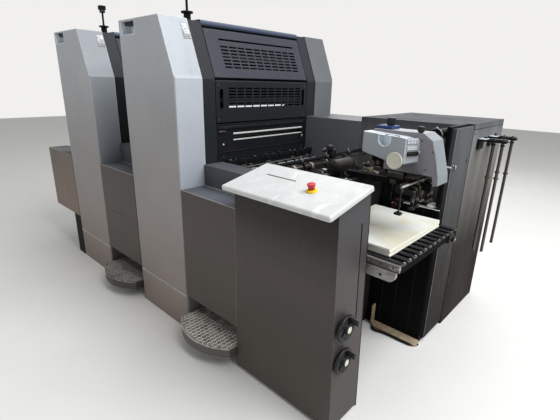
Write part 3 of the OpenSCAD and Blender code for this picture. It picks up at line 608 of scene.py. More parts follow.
def paintDesk():
    # Off-white moulding, greyed by hands, with dried smears and a few round marks
    paint = Paint("deskMoulding")
    hands = paint.fade(paint.noise(5.0, 5.0, 0.6, (1, 1, 1), (0.3, 1.1, 0.0)), 0.42, 0.75, 0.0, 0.55)
    colour = paint.mix(hands, rgb("#cacbc9"), rgb("#aeb0ae"))
    smears = paint.fade(paint.noise(16.0, 4.0, 0.7, (1.0, 0.45, 1.0), (1.3, 0.2, 0.0)), 0.54, 0.70, 0.0, 0.6)
    colour = paint.tint(smears, colour, "#e4e4e3")
    grime = paint.fade(paint.noise(34.0, 5.0, 0.7), 0.56, 0.80, 0.0, 0.45)
    colour = paint.tint(grime, colour, "#999890")
    for x, y, radius in ((929, 15, 15), (905, 52, 11), (640, -12, 14)):
        middle = at(x, y, 0)
        away = paint.node("ShaderNodeVectorMath", {"operation": "DISTANCE"},
                          {0: paint.flat(), 1: (middle.x, middle.y, 0.0)}, "Value")
        ring = paint.fade(abs(away - radius / 1000), 0.0, 0.004, 0.32, 0.0)
        colour = paint.tint(ring, colour, "#eeeeed")
    # Lighter corners: wear together with a painted edge highlight
    corner, rounded = paint.edges(0.004)
    colour = paint.tint(corner * 0.6, colour, "#f3efe9")
    fine = paint.noise(900.0, 2.0, 0.5)
    bump = paint.bump(fine + smears * 0.4, 0.12, 0.0004, rounded)
    return paint.finish(colour, 0.42 + hands * 0.2 - smears * 0.1, 0.0, bump, 0.1, 0.3, 1.45)


def paintSteps():
    # Chequered plate: bright where boots have polished it, dark dirt between, lighter corners as wear and
    # painted highlight, and the tread further along +X lit brighter than the other as painted light
    paint = Paint("stepPlate")
    scuff = paint.noise(22.0, 5.0, 0.7)
    colour = paint.mix(paint.fade(scuff, 0.36, 0.6), rgb("#5c5852"), rgb("#99948b"))
    grit = paint.noise(150.0, 3.0, 0.6)
    colour = paint.tint(paint.fade(grit, 0.52, 0.7, 0.0, 0.6), colour, "#2c2a28")
    raised = paint.fade(paint.along("z"), 0.1205, 0.1212) * paint.fade(scuff, 0.3, 0.5, 0.45, 1.0)
    colour = paint.tint(raised, colour, "#e6e2da")
    low = paint.fade(paint.along("z"), 0.112, 0.117, 1.0, 0.0)
    colour = paint.tint(low, colour, "#4b4745")
    # Lighter corners: wear together with a painted edge highlight
    corner, rounded = paint.edges(0.002)
    colour = paint.tint(corner * 0.8, colour, "#cfd0ce")
    # Painted light: the tread further along +X is lit brighter, the other darker
    wearAndLight = paint.fade(paint.along("x"), 0.0, 0.4, 0.64, 1.3)
    colour = paint.dim(colour, wearAndLight)
    bump = paint.bump(scuff + grit * 0.5, 0.3, 0.001, rounded)
    return paint.finish(colour, 0.42 + grit * 0.2, 0.25, bump)


def paintPaper():
    # Sheets: a fine grain, a stained grey-white face, cream cut edges
    paint = Paint("paperSheets")
    fibre = paint.noise(60.0, 4.0, 0.6)
    top = paint.mix(fibre, rgb("#d6d5cb"), rgb("#cfd2ce"))
    layers = paint.node("ShaderNodeTexNoise", {"noise_dimensions": "1D"},
                        {"W": paint.along("z") * 1400.0, "Scale": 1.0, "Detail": 2.0})
    edge = paint.ramp(layers, [(0.3, rgb("#dcd7c4")), (0.5, rgb("#f8f5e8")), (0.7, rgb("#e8e4d2"))])
    stain = paint.fade(paint.noise(4.5, 3.0, 0.6, (1, 1, 1), (0.4, 0.9, 0.0)), 0.46, 0.68, 0.0, 0.5)
    top = paint.mix(stain, top, rgb("#c6b890"))
    colour = paint.mix(paint.facing("Z", 0.3, 0.8), edge, top)
    bump = paint.bump(fibre + layers * 0.6, 0.15, 0.0006)
    return paint.finish(colour, 0.75, 0.0, bump, 0.0, 0.1, 1.4)


def paintSill():
    # Beige threshold under oil, dust and scrapes
    paint = Paint("sillPaint")
    dust = paint.noise(12.0, 6.0, 0.7)
    colour = paint.mix(paint.fade(dust, 0.35, 0.65), rgb("#8b7860"), rgb("#b3a286"))
    oil = paint.fade(paint.noise(9.0, 5.0, 0.65, (1, 1, 1), (4.0, 0.0, 1.0)), 0.5, 0.68, 0.0, 0.8)
    colour = paint.tint(oil, colour, "#2c241b")
    # Lighter corners: wear together with a painted edge highlight
    corner, rounded = paint.edges(0.003)
    colour = paint.tint(corner * 0.5, colour, "#c9bda7")
    return paint.finish(colour, 0.5 - oil * 0.2, 0.0, paint.bump(dust, 0.3, 0.001, rounded))


def paintRail():
    # Scuffed alloy: grey lower plate, darker rubbed upper tier, whitened left end
    paint = Paint("railAlloy")
    rub = paint.noise(18.0, 5.0, 0.7, (0.5, 1, 1.4))
    colour = paint.mix(paint.fade(rub, 0.35, 0.65), rgb("#8f8b86"), rgb("#c4c1bc"))
    tier = paint.fade(paint.along("z"), 0.6845, 0.6865)
    dark = paint.mix(paint.fade(rub, 0.45, 0.62), rgb("#6d6966"), rgb("#bdbab5"))
    colour = paint.mix(tier, colour, dark)
    left = paint.inside((690, 230, 680), (742, 270, 720), 0.012)
    colour = paint.tint(left * 0.75, colour, "#e4e4e0")
    # Lighter corners: wear together with a painted edge highlight
    corner, rounded = paint.edges(0.003)
    colour = paint.tint(corner * 0.6, colour, "#d3d2ce")
    grit = paint.noise(120.0, 3.0, 0.6)
    colour = paint.tint(paint.fade(grit, 0.55, 0.75, 0.0, 0.5), colour, "#3f3c39")
    return paint.finish(colour, 0.42 + rub * 0.15, 0.25, paint.bump(rub + grit * 0.4, 0.25, 0.0008, rounded))


deskFinish = paintDesk()
stepFinish = paintSteps()
paperFinish = paintPaper()
sillFinish = paintSill()
railFinish = paintRail()

dress(silver, "columns")
dress(frameGrey, "side_frames")
dress(slotBlack, "slot_covers")
dress(wear("upperGuardPaint", upperGuardLook), "upper_guard_1", "upper_guard_2")
dress(wear("lowerGuardPaint", lowerGuardLook), "lower_guard_1", "lower_guard_2")
dress(wear("lidPaint", lidLook), "top_lids")
dress(wear("drivePaint", driveLook), "drive_covers")
dress(wear("wallPaint", wallLook), "bed_walls")
dress(wear("warmPaint", warmLook), "low_covers")
dress(wear("boxPaint", boxLook), "control_box")
dress(wear("deliveryPaint", deliveryLook), "delivery_covers")
dress(cabinetPaint, "cabinet", "cabinet_lid", "cabinet_panel")
dress(wear("doorPaint", doorLook), "cabinet_door")
dress(black, "feeder_frame", "delivery_frame", "unit_cores", "pile_front_stop", "feed_bars", "feed_motor",
      "air_duct", "rod_rack", "sensor_posts", "head_beam")
dress(wear("bayPaint", bayLook), "bay_wall")
dress(wear("bedPaint", bedLook), "bed", "feed_table")
dress(tinted("boardPaint", blackLook, "#0d0e10", rough=0.55, ior=1.06, edge=0.5, edgeTone="#4a4b4d"),
      "pile_board")
dress(tinted("rollerRubber", mouldLook, "#1a1a1c", rough=0.35), "ink_rollers")
dress(wear("headPaint", headLook), "suction_head")
dress(wear("coverPaint", coverLook), "head_cover")
dress(cream, "head_badge")
dress(rodSteel, "hanging_rods", "pull_shaft")
dress(wear("guideSteel", dict(brightLook, base="#85857f", patches=[
    {"low": (700.0, None, None), "high": (760.0, None, None), "tone": "#26221f"},
])), "side_guide")
dress(deskFinish, "control_desk")
dress(stepFinish, "foot_steps")
dress(sillFinish, "bay_sill")
dress(railFinish, "board_rail")
print("housings painted")


# Printing units

units = {"1": -957.0, "2": 0.0}  # feeder face of each unit
slopeTurn = math.atan(110 / 280)


def onSlope(face):
    # Local z runs up the slope from the kink, local x stands out from it
    return Matrix.Translation((face, 0, 1380)) @ Matrix.Rotation(-slopeTurn, 4, "Y")


slotTrim = {"from": 358, "to": 947, "upper": (1092, 1101), "lower": (1059.5, 1064), "fold": 998,
            "rail": (1122, 1140)}


def trimSlotCovers():
    start, end = slotTrim["from"], slotTrim["to"]
    for unit, face in units.items():
        trim = Build("slotTrim" + unit, whiteSteel, slotBlack, oily)
        trim.box((face - 26, start, slotTrim["upper"][0]), (face - 3, end, slotTrim["upper"][1]), 0, 0.8)
        trim.box((face - 26, start, slotTrim["lower"][0]), (face - 2.5, end, slotTrim["lower"][1]), 0, 0.8)
        trim.box((face - 4, 262, slotTrim["fold"]), (face - 0.5, 968, slotTrim["fold"] + 5), 1, 1.2)
        trim.box((face - 4, 262, slotTrim["fold"] - 34), (face - 2, 968, slotTrim["fold"] - 31), 1, 0.6)
        trim.box((face - 4, 250, slotTrim["rail"][0]), (face + 2, 976, slotTrim["rail"][1]), 1, 2.0)
        trim.box((face - 4, 252, 1108), (face + 4, 300, 1118), 2, 1.5)
        for y in (330, 610, 890):
            trim.box((face - 22, y, 1086), (face - 6, y + 18, 1092), 1, 0.6)
        for y, z in ((286, 1043), (950, 1044), (286, 975), (950, 975)):
            trim.screw((face - 4, y, z), (1, 0, 0), 5, 3, 0 if z > 1000 else 2)
        for y in (300, 616, 932):
            trim.screw((face + 2, y, 1131), (1, 0, 0), 3.5, 2, 2)
        trim.ride("press", "slot_covers")


guardLining = {"first": 331.2, "pitch": 59.6, "slot": 50.6, "low": 1236.5, "high": 1245.6, "count": 7}


def lineGuard():
    # Bright strip that shows in the lowest slots of the second unit's lower guard, torn at its far end
    low, high = guardLining["low"], guardLining["high"]
    strip = Build("guardLining", plateMark)
    for i in range(guardLining["count"]):
        start = guardLining["first"] + i * guardLining["pitch"]
        strip.box((-7.6, start, low), (-5.0, start + guardLining["slot"], high - (i % 3) * 0.6), 0, 0.4)
    start += guardLining["pitch"]
    torn = [(start, low), (start + 18, low), (start + 30, high), (start + 22, high), (start + 14, high - 5),
            (start, high - 3)]
    strip.plate(torn, "x", -7.6, -5.2, 0, 0.3)
    strip.ride("lower_guard", "lower_guard_2")


def fastenGuards():
    # Countersunk screws at the guards' corners and the small catches below them
    for unit, face in units.items():
        upper = Build("upperGuardScrews" + unit, oily)
        turn = onSlope(face)
        for y, way in ((262, 28), (962, 28), (262, 250), (962, 250), (612, 24)):
            solid = latheSolid([(0, 4.5), (1.2, 4.5), (1.8, 3.6), (1.2, 1.8)], (-4, y, way), (1, 0, 0), 12)
            upper.add(solid, 0, 0.0, 2, turn)
        upper.ride("upper_guard" if unit == "2" else "press", "upper_guard_" + unit)
        lower = Build("lowerGuardScrews" + unit, oily, moulded)
        for y, z in ((262, 1350), (962, 1350), (262, 1176), (962, 1176)):
            lower.screw((face - 4, y, z), (1, 0, 0), 4.5, 1.8, 0)
        for middle in (281, 944):
            outline = arc((middle, 1323), 14.2, 0, 180, 10) + arc((middle, 1243), 14.2, 180, 360, 10)
            inner = arc((middle, 1323), 11.8, 0, 180, 10) + arc((middle, 1243), 11.8, 180, 360, 10)
            lower.add(rimSolid(outline, inner, "x", face - 4.2, face - 2.6), 1, 0.0)
        lower.ride("lower_guard" if unit == "2" else "press", "lower_guard_" + unit)


hatch = {"from": 113, "to": 157, "low": 197, "high": 276, "line": 1.6}


def outlineHatches():
    # Thin frame of a small bare cover high on each silver slope
    line = tinted("hatchLine", mouldLook, "#6f7070", edge=0.1)
    for unit, face in units.items():
        cover = Build("slopeHatch" + unit, line, silver)
        turn = onSlope(face)
        start, end, low, high = hatch["from"], hatch["to"], hatch["low"], hatch["high"]
        edge = hatch["line"]
        cover.box((0, start, low), (0.5, end, high), 0, 0.0, 2, turn)
        cover.box((0.2, start + edge, low + edge), (1.0, end - edge, high - edge), 1, 0.3, 2, turn)
        for way in (low + 22, low + 50):
            cover.box((0.9, start + 14, way), (1.4, start + 30, way + 2), 0, 0.2, 2, turn)
        cover.ride("press", "columns")


def lineNotches():
    # Hand recess at the top of each column: pale back; white lower lip and foot of the back as painted light
    # on faces lit from above; roof strip dark as painted shadow under the top edge
    for unit, face in units.items():
        left, right = face - 507 + 27, face - 507 + 170
        lining = Build("columnRecess" + unit, pale, plateMark, frameGrey)
        lining.box((left + 0.2, 54, 1587.5), (right - 0.2, 59.9, 1651.8), 0, 0.0)
        # White foot of the back and lower lip: painted light from above
        lining.box((left + 2, 52.6, 1590), (right - 2, 54.2, 1612), 1, 0.4)
        lining.box((left + 0.2, 1.0, 1587.1), (right - 0.2, 54, 1590.5), 1, 1.0)
        # Dark grey roof strip: painted shadow under the top edge
        lining.box((left + 0.2, 22, 1636), (right - 0.2, 54, 1651.8), 2, 2.0)
        lining.box((left + 0.1, 0.6, 1590.5), (left + 2.6, 54, 1651.8), 0, 0.4)
        lining.box((right - 2.6, 0.6, 1590.5), (right - 0.1, 54, 1651.8), 0, 0.4)
        lining.ride("press", "columns")


def finishPosts():
    # Cap, gland and ring on the two posts that stand on the side frames
    for unit, x in (("1", -1119.0), ("2", -162.0)):
        post = Build("postFittings" + unit, moulded, oily)
        post.box((x - 14, 186, 1778), (x + 14, 214, 1796), 0, 3.0)
        post.lathe([(0, 7.5), (1, 8.6), (5, 8.6), (6, 7.5)], (x, 200, 1700), (0, 0, 1), 0, 24)
        for c, s in around(3, 90):
            post.screw((x + 22 * c, 200 + 22 * s, 1700), (0, 0, 1), 3.5, 2, 1)
        post.ride("press", "sensor_posts")


trimSlotCovers()
lineGuard()
fastenGuards()
outlineHatches()
lineNotches()
finishPosts()
print("units fitted out")


# Foot steps

treads = {"middles": (-732.0, 210.5), "top": 120.0, "pitch": 23.0, "length": 19.0, "width": 6.2, "rise": 1.6,
          "from": -114.0, "to": 60.0, "reach": 24}


def laySteps():
    for number, middle in enumerate(treads["middles"], 1):
        plate = Build(f"stepTread{number}", stepFinish)
        top, pitch = treads["top"], treads["pitch"]
        half, wide = treads["length"] / 2, treads["width"] / 2
        row = 0
        y = treads["from"]
        while y < treads["to"]:
            for column in range(-treads["reach"], treads["reach"] + 1):
                x = middle + column * pitch
                if abs(x - middle) > 194 or math.hypot(x - middle, y - 178) > 290:
                    continue
                angle = math.radians(45 if (column + row) % 2 else -45)
                along = Vector((math.cos(angle), math.sin(angle)))
                across = Vector((-along.y, along.x))
                shape = [(half, 0), (half * 0.55, wide), (-half * 0.55, wide),
                         (-half, 0), (-half * 0.55, -wide), (half * 0.55, -wide)]
                outline = [tuple(Vector((x, y)) + a * along + b * across) for a, b in shape]
                solid = plateSolid(outline, "z", top, top + treads["rise"])
                for corner in solid.verts:
                    if corner.co.z > top + 0.5:
                        corner.co.x += (x - corner.co.x) * 0.22
                        corner.co.y += (y - corner.co.y) * 0.22
                plate.add(solid)
            y += pitch / 2 + 1
            row += 1
        edge = math.degrees(math.asin(203 / 300))
        rim = [(x, y, top - 1.2) for x, y in arc((middle, 178), 299.6, -90 - edge, -90 + edge, 40)]
        plate.tube(rim, 2.2, 0, 8)
        plate.tube([(x, y, top - 53) for x, y, z in rim], 1.8, 0, 8)
        plate.ride("press", "foot_steps")


laySteps()
print("steps laid")


# Control box

deskTilt = math.radians(12.5)


def onDesk(x, y):
    # Stands something square on the desk's top
    height = 962 + (y + 80) * math.tan(deskTilt)
    return Matrix.Translation((x, y, height)) @ Matrix.Rotation(deskTilt, 4, "X")


desk = {"line": (530, 691, 90), "stop": (806, 47)}


def fitDesk():
    left, right, y = desk["line"]
    trim = Build("deskInlay", tinted("inlayGrey", mouldLook, "#62625f"))
    middle = (left + right) / 2
    trim.box((left - middle, -4.2, -0.4), (right - middle, 4.2, 0.5), 0, 0.3, 2, onDesk(middle, y))
    trim.ride("press", "control_desk")
    x, y = desk["stop"]
    base = Build("stopCollar", yellowMoulding)
    base.lathe([(0, 22), (3, 22), (5, 20.5), (8, 16.0), (8, 11.4), (1.0, 10.6)], (0, 0, 0), (0, 0, 1), 0, 40,
               onDesk(x, y))
    base.ride("press", "stop_base", "stop_base")
    knob = Build("stopKnob", redMoulding)
    profile = [(7.7, 9.6), (14.3, 9.8), (14.5, 13), (16, 13.6), (21, 14.6), (26, 16.2), (28, 16.6),
               (29.6, 16.0),
               (30.6, 14), (31.2, 9), (31.4, 4)]
    knob.lathe(profile, (0, 0, 0), (0, 0, 1), 0, 48, onDesk(x, y))
    knob.ride("stop_knob", "stop_button", "stop_button")
    # Light line down the box front where it meets the low cover: painted highlight along the seam
    seam = Build("boxSeam", seamHighlight)
    seam.box((419.8, -0.9, 236), (422.6, 4, 836), 0, 0.4)
    seam.ride("press", "control_box")


handwheel = {"back": 991.0, "side": 56.0, "grip": (20.0, 27.0)}


def turnHandwheels():
    for name, body, z in (("upper", "upper_wheel", 484.0), ("lower", "lower_wheel", 334.0)):
        wheel = Build(name + "Handwheel", moulded, cream, oily)
        profile = [(0, 48), (1.5, 52.5), (4.5, 55.4), (8, 56), (11, 55), (13.4, 52), (14, 48), (12.5, 44.5),
                   (8.5, 42), (6.5, 37), (6.5, 24), (9, 21), (18, 19.5), (22, 18), (23, 15)]
        back, side = handwheel["back"], handwheel["side"]
        wheel.lathe(profile, (back, side, z), (1, 0, 0), 0, 64)
        wheel.lathe([(0, 13.6), (1.2, 13.6), (2.0, 12.0)], (back + 22.8, side, z), (1, 0, 0), 1, 32)
        for c, s in around(30):
            y, up = side + 55.4 * c, z + 55.4 * s
            wheel.rod((back + 3.2, y, up), (back + 10.2, y, up), 1.5, 0, 0.4, 6)
        for c, s in around(4, 45):
            wheel.rod((back + 8.2, side + 20 * c, z + 20 * s), (back + 9.2, side + 45 * c, z + 45 * s), 4.0,
                      0, 0.6, 10)
        grip = [(0, 7.5), (4, 7.5), (5, 10.4), (12, 11.0), (28, 9.8), (33, 10.2), (36, 8.4), (37, 4.5)]
        away, rise = handwheel["grip"]
        wheel.lathe(grip, (back + 12, side + away, z + rise), (1, 0, 0), 0, 28)
        wheel.lathe([(0, 3.2), (1.0, 3.2), (1.4, 2.4)], (back + 48.8, side + away, z + rise), (1, 0, 0), 2,
                    16)
        wheel.ride(body, "handwheel_" + name, "handwheel_" + name)


fitDesk()
turnHandwheels()
print("control box fitted out")


# Feeder: table, bars and motor

table = {"grooves": 6, "belt": 34.0, "pitch": 100.0, "first": 300.0, "from": 84.0, "to": 622.0}


def layBelts():
    belts = Build("feedBelts", beltRubber, oily, greenTape, bright)
    for i in range(table["grooves"]):
        y = table["first"] + i * table["pitch"]
        belts.box((table["from"], y + 8, 891.0), (table["to"], y + 8 + table["belt"], 893.6), 0, 0.5)
        belts.rod((table["to"] - 8, y + 4, 892.4), (table["to"] - 8, y + 46, 892.4), 3.4, 3, 0.4, 12)
        belts.box((table["from"] + 40, y + 50.5, 895.0), (table["to"] - 90, y + 60, 897.2), 1, 0.6)
    belts.box((548, 618, 895.0), (652, 676, 896.0), 2, 0.3)
    belts.box((630, 245, 895.0), (662, 980, 899.0), 3, 1.0)
    belts.box((560, 700, 895.0), (640, 716, 903.0), 3, 1.0)
    belts.ride("press", "feed_table")


def fitBars():
    # What stands on the two bars: collars, levers, small wheels and the front lays under their cover
    bars = Build("barFittings", bright, moulded, oily, rodSteel)
    for share in (0.255, 0.537, 0.819):
        y = 240 + share * 745
        for side in (y + 8, y - 12):
            bars.lathe([(0, 6), (1, 7.5), (3, 7.5), (4, 5)], (490, side, 911.3), (0, 1, 0), 2, 20)
        bars.lathe([(0, 13), (1, 14.5), (14, 14.5), (15, 13)], (440, y - 20, 1000), (0, 1, 0), 2, 24)
        bars.rod((440, y - 12, 1012), (440, y - 12, 1026), 3.5, 0, 0.6, 12)
    bars.lathe([(0, 14), (2, 18.5), (6, 19.5), (20, 19.5), (24, 17), (26, 11)], (440, 656, 1034), (0, 0, 1),
               1, 24)
    bars.ribs((440, 656), 19.3, 1038, 1053, 1.8, 14, 1, 0.3)
    bars.box((424, 660, 984), (458, 694, 1036), 1, 3.0)
    bars.rod((432, 600, 1034), (432, 648, 1046), 5.0, 2, 1.0, 12)
    bars.rod((470, 760, 984), (470, 984, 984), 4.0, 3, 0.0, 12)
    bars.box((455, 757, 975), (480, 764, 1004), 2, 1.0)
    for y in (262, 420, 580, 740, 900):
        bars.box((586, y, 905), (616, y + 16, 934), 2, 2.0)
        bars.screw((600, y + 8, 934), (0, 0, 1), 4, 3, 0)
    bars.ride("press", "feed_bars")
    lays = Build("frontLays", oily, capGrey, black)
    y = 282.0
    while y < 975:
        wide = 18 + 44 * dice.random()
        high = 960 + 2 + 6 * dice.random()
        lays.box((24 + 4 * dice.random(), y, 938), (57 + 4 * dice.random(), y + wide, high), 2, 1.6)
        if dice.random() < 0.75:
            lays.screw((40, y + wide / 2, high), (0, 0, 1), 4.2, 3.0, 1 if dice.random() < 0.45 else 0)
        if dice.random() < 0.5:
            lays.box((54, y + 3, 903), (66, y + wide - 3, 930), 0, 1.2)
        y += wide + 3 + 16 * dice.random()
    lays.rod((74, 246, 915), (74, 980, 915), 8, 0, 0.0, 16)
    lays.rod((96, 246, 908), (96, 980, 908), 5, 1, 0.0, 12)
    for i in range(9):
        y = 290 + i * 78
        lays.box((62, y, 896), (104, y + 12, 922), 2, 1.5)
        lays.screw((83, y + 6, 922), (0, 0, 1), 3.5, 2.5, 1)
    lays.ride("press", "feed_bars")


def fitMotor():
    barrel = tinted("barrelBrown", mouldLook, "#1d1917", dirt="#322a24", smudge=0.4, edgeTone="#5d544c")
    dress(barrel, "feed_motor")
    motor = Build("motorFittings", moulded, plateMark, oily, barrel)
    for y in (503, 640):
        motor.ring((574, 979), 38.0, 35.6, "y", y, y + 8, 3, 40)
    motor.lathe([(0, 35.8), (3, 35.8), (6, 31), (7, 19)], (574, 500, 979), (0, -1, 0), 0, 40)
    for c, s in around(3, 30):
        motor.screw((574 + 27 * c, 493.5, 979 + 27 * s), (0, -1, 0), 3.4, 2.4, 2)
    for i, (dx, z) in enumerate(((-46, 962), (-46, 950), (-46, 938), (-20, 935), (-20, 923))):
        motor.box((574 + dx, 478, z), (574 + dx + 20, 496, z + 7), 1 if i % 2 == 0 else 0, 1.2)
        motor.box((574 + dx + 3, 472, z + 1), (574 + dx + 12, 480, z + 6), 1 if i % 2 else 0, 1.0)
    motor.box((520, 480, 895), (600, 500, 922), 0, 2.0)
    motor.box((524, 490, 920), (540, 500, 968), 0, 1.5)
    motor.box((556, 552, 895), (592, 588, 900), 3, 1.0)
    motor.ride("press", "feed_motor")


def ringShaft():
    # Worn tyres and side collars of the pull wheels
    tyre = tinted("wornTyre", mouldLook, "#8d8a84", dirt="#3a352f", smudge=0.5)
    shaft = Build("pullWheelTyres", oily, tyre)
    for i in range(4):
        y = 360 + i * 150
        shaft.ring((300, 920), 21.5, 19.4, "y", y + 4, y + 21, 1)
        for side in (y - 6, y + 25):
            shaft.lathe([(0, 14), (1, 15.5), (5, 15.5), (6, 14)], (300, side, 920), (0, 1, 0), 0, 24)
            shaft.screw((300 + 14, side + 3, 920), (1, 0, 0), 2.6, 2.4, 0)
    shaft.ride("pull_roller", "pull_shaft")


def clampBeam():
    # Worn clamps on the cross beam beside the slide arm
    clamps = Build("beamClamps", beige, moulded, bright, oily)
    clamps.box((686, 588, 950), (734, 628, 976), 3, 3.0)
    clamps.box((690, 590, 976), (728, 626, 990), 0, 3.0)
    clamps.box((696, 596, 989), (720, 620, 1010), 1, 3.0)
    clamps.rod((680, 608, 1000), (742, 608, 1000), 6, 3, 1.0, 16)
    clamps.tube([(700, 620, 1004), (694, 634, 1012), (684, 638, 1004), (680, 640, 965)], 3, 3)
    clamps.box((684, 650, 950), (736, 672, 962), 0, 2.0)
    clamps.screw((710, 661, 962), (0, 0, 1), 6, 5, 2)
    clamps.box((690, 400, 950), (730, 440, 958), 3, 2.0)
    clamps.screw((710, 420, 958), (0, 0, 1), 6, 5, 2)
    clamps.box((872, 523.4, 953), (900, 525, 972), 3, 0.6)
    clamps.ride("press", "head_beam")


layBelts()
fitBars()
fitMotor()
ringShaft()
clampBeam()
print("feed table fitted out")


# Suction head

endRun = Vector((30, 70, 0)).normalized()
onEnd = Matrix.Translation((973, 420, 0)) @ Matrix(((endRun.y, endRun.x, 0, 0), (-endRun.x, endRun.y, 0, 0),
                                                    (0, 0, 1, 0), (0, 0, 0, 1)))
notch = {"x": 880.0, "z": 1157.0, "radius": 27.8, "front": 419.6, "back": 448.9}


def lineHeadNotch():
    x, z, radius = notch["x"], notch["z"], notch["radius"]
    lining = Build("headNotchLining", pale, plateMark)
    curve = arc((x, z), radius, 180, 360, 24)
    outer = [(x - radius, 1177.0)] + curve + [(x + radius, 1174.5)]
    inner = [(x - radius + 1.6, 1177.0)] + arc((x, z), radius - 1.6, 180, 360,
                                               24) + [(x + radius - 1.6, 1174.5)]
    lining.add(rimSolid(outer, inner, "y", notch["front"], notch["back"]))
    lining.plate(outer, "y", notch["back"] - 1.2, notch["back"], 0, 0.0)
    rim = [(a, notch["front"], b) for a, b in [(x - radius, 1176.5)] + curve + [(x + radius, 1174.0)]]
    lining.tube(rim, 1.9, 1, 8)
    lining.ride("head", "suction_head")


def labelHeadEnd():
    # Bare light plates in dark frames on the askew end, above the strip of controls
    plates = Build("headLabels", moulded, labelGrey, capGrey)
    rows = ((1146.5, 1171.5, 9.0, 64.0), (1121.5, 1139.5, 10.0, 66.0))
    for low, high, start, end in rows:
        plates.box((0.02, start, low), (1.0, end, high), 2, 0.3, 2, onEnd)
        middle = (low + high) / 2
        plates.box((0.8, start + 2, middle + 1), (1.7, end - 2, high - 2), 1, 0.3, 2, onEnd)
        plates.box((0.8, start + 2, low + 2), (1.7, end - 2, middle - 1), 1, 0.3, 2, onEnd)
    for start in (22, 38, 52):
        plates.box((1.6, start, 1152), (2.1, start + 7, 1155), 0, 0.0, 2, onEnd)
        plates.box((1.6, start, 1163), (2.1, start + 7, 1165), 0, 0.2, 2, onEnd)
    plates.ride("head", "suction_head")
    strip = Build("headControls", moulded, bright, blueEnamel, plateMark)
    strip.box((0.02, 14, 1100), (7.5, 68, 1118), 0, 1.5, 2, onEnd)
    for start in (21, 33, 45):
        strip.lathe([(0, 4.6), (6, 4.6), (7.5, 3.6)], (7.4, start, 1109), (1, 0, 0), 0, 16, onEnd)
    strip.box((7.4, 55, 1105), (12, 60, 1112), 0, 0.8, 2, onEnd)
    strip.rod((1003, 487, 1114), (1013, 512, 1118), 3.6, 3, 0.8, 14)
    strip.lathe([(0, 4.2), (3, 5.4), (7, 5.4), (9, 3.6)], (1013, 512, 1118), (0.37, 0.92, 0.1), 1, 16)
    for x, y, z, radius in ((996.0, 500.0, 1190.0, 13.0), (841.0, 542.0, 1202.0, 17.0)):
        rise = 26 if radius < 14 else 36
        profile = [(0, radius * 0.7), (3, radius * 0.7), (4, radius * 0.94), (rise - 4, radius),
                   (rise - 1, radius * 0.93), (rise, radius * 0.7)]
        strip.lathe(profile, (x, y, z), (0, 0, 1), 0, 32)
        strip.ribs((x, y), radius * 0.98, z + 5, z + rise - 3, radius * 0.07, 18, 0, 0.2)
    strip.box((786, 509, 1189), (862, 588, 1203), 2, 3.0, 3)
    strip.box((792, 515, 1202.6), (857, 582, 1204), 2, 0.8)
    strip.box((762, 548, 1190.2), (796, 590, 1197), 2, 2.0)
    strip.ride("head", "head_knobs", "head_knobs")


def finishHead():
    # Seams, ring of the badge, catch on the top, ribs and marks on the cover's pale front
    trim = Build("headTrim", oily, headLine, cream, moulded)
    trim.box((915, 438, 1174.4), (936, 445, 1176.4), 3, 0.4)
    trim.lathe([(0, 36.4), (1.0, 36.4), (1.6, 35.0)], (936, 420, 1078), (0, -1, 0), 1, 48)
    badge = [(5, 34.8), (6, 34.6), (7.2, 33.0), (6.6, 31.4), (6.4, 14)]
    trim.lathe(badge, (936, 420, 1078), (0, -1, 0), 2, 48)
    curve = [(1012 + 72 * math.sin(t), 489.6, 1040 + 128 * math.cos(t)) for t in
             [math.radians(-4 + 96 * i / 20) for i in range(21)]]
    trim.tube(curve, 1.0, 1, 6)
    trim.box((806, 489.2, 1103), (1000, 490.4, 1104.4), 1, 0.0)
    for x, z in ((1010, 1160), (1040, 1046), (1060, 1120)):
        trim.screw((x, 490, z), (0, -1, 0), 3.4, 1.6, 0)
    trim.ride("head", "head_cover")


suckers = {"x": 1020.0, "across": (450.0, 490.0, 600.0, 635.0), "cup": 880.0}


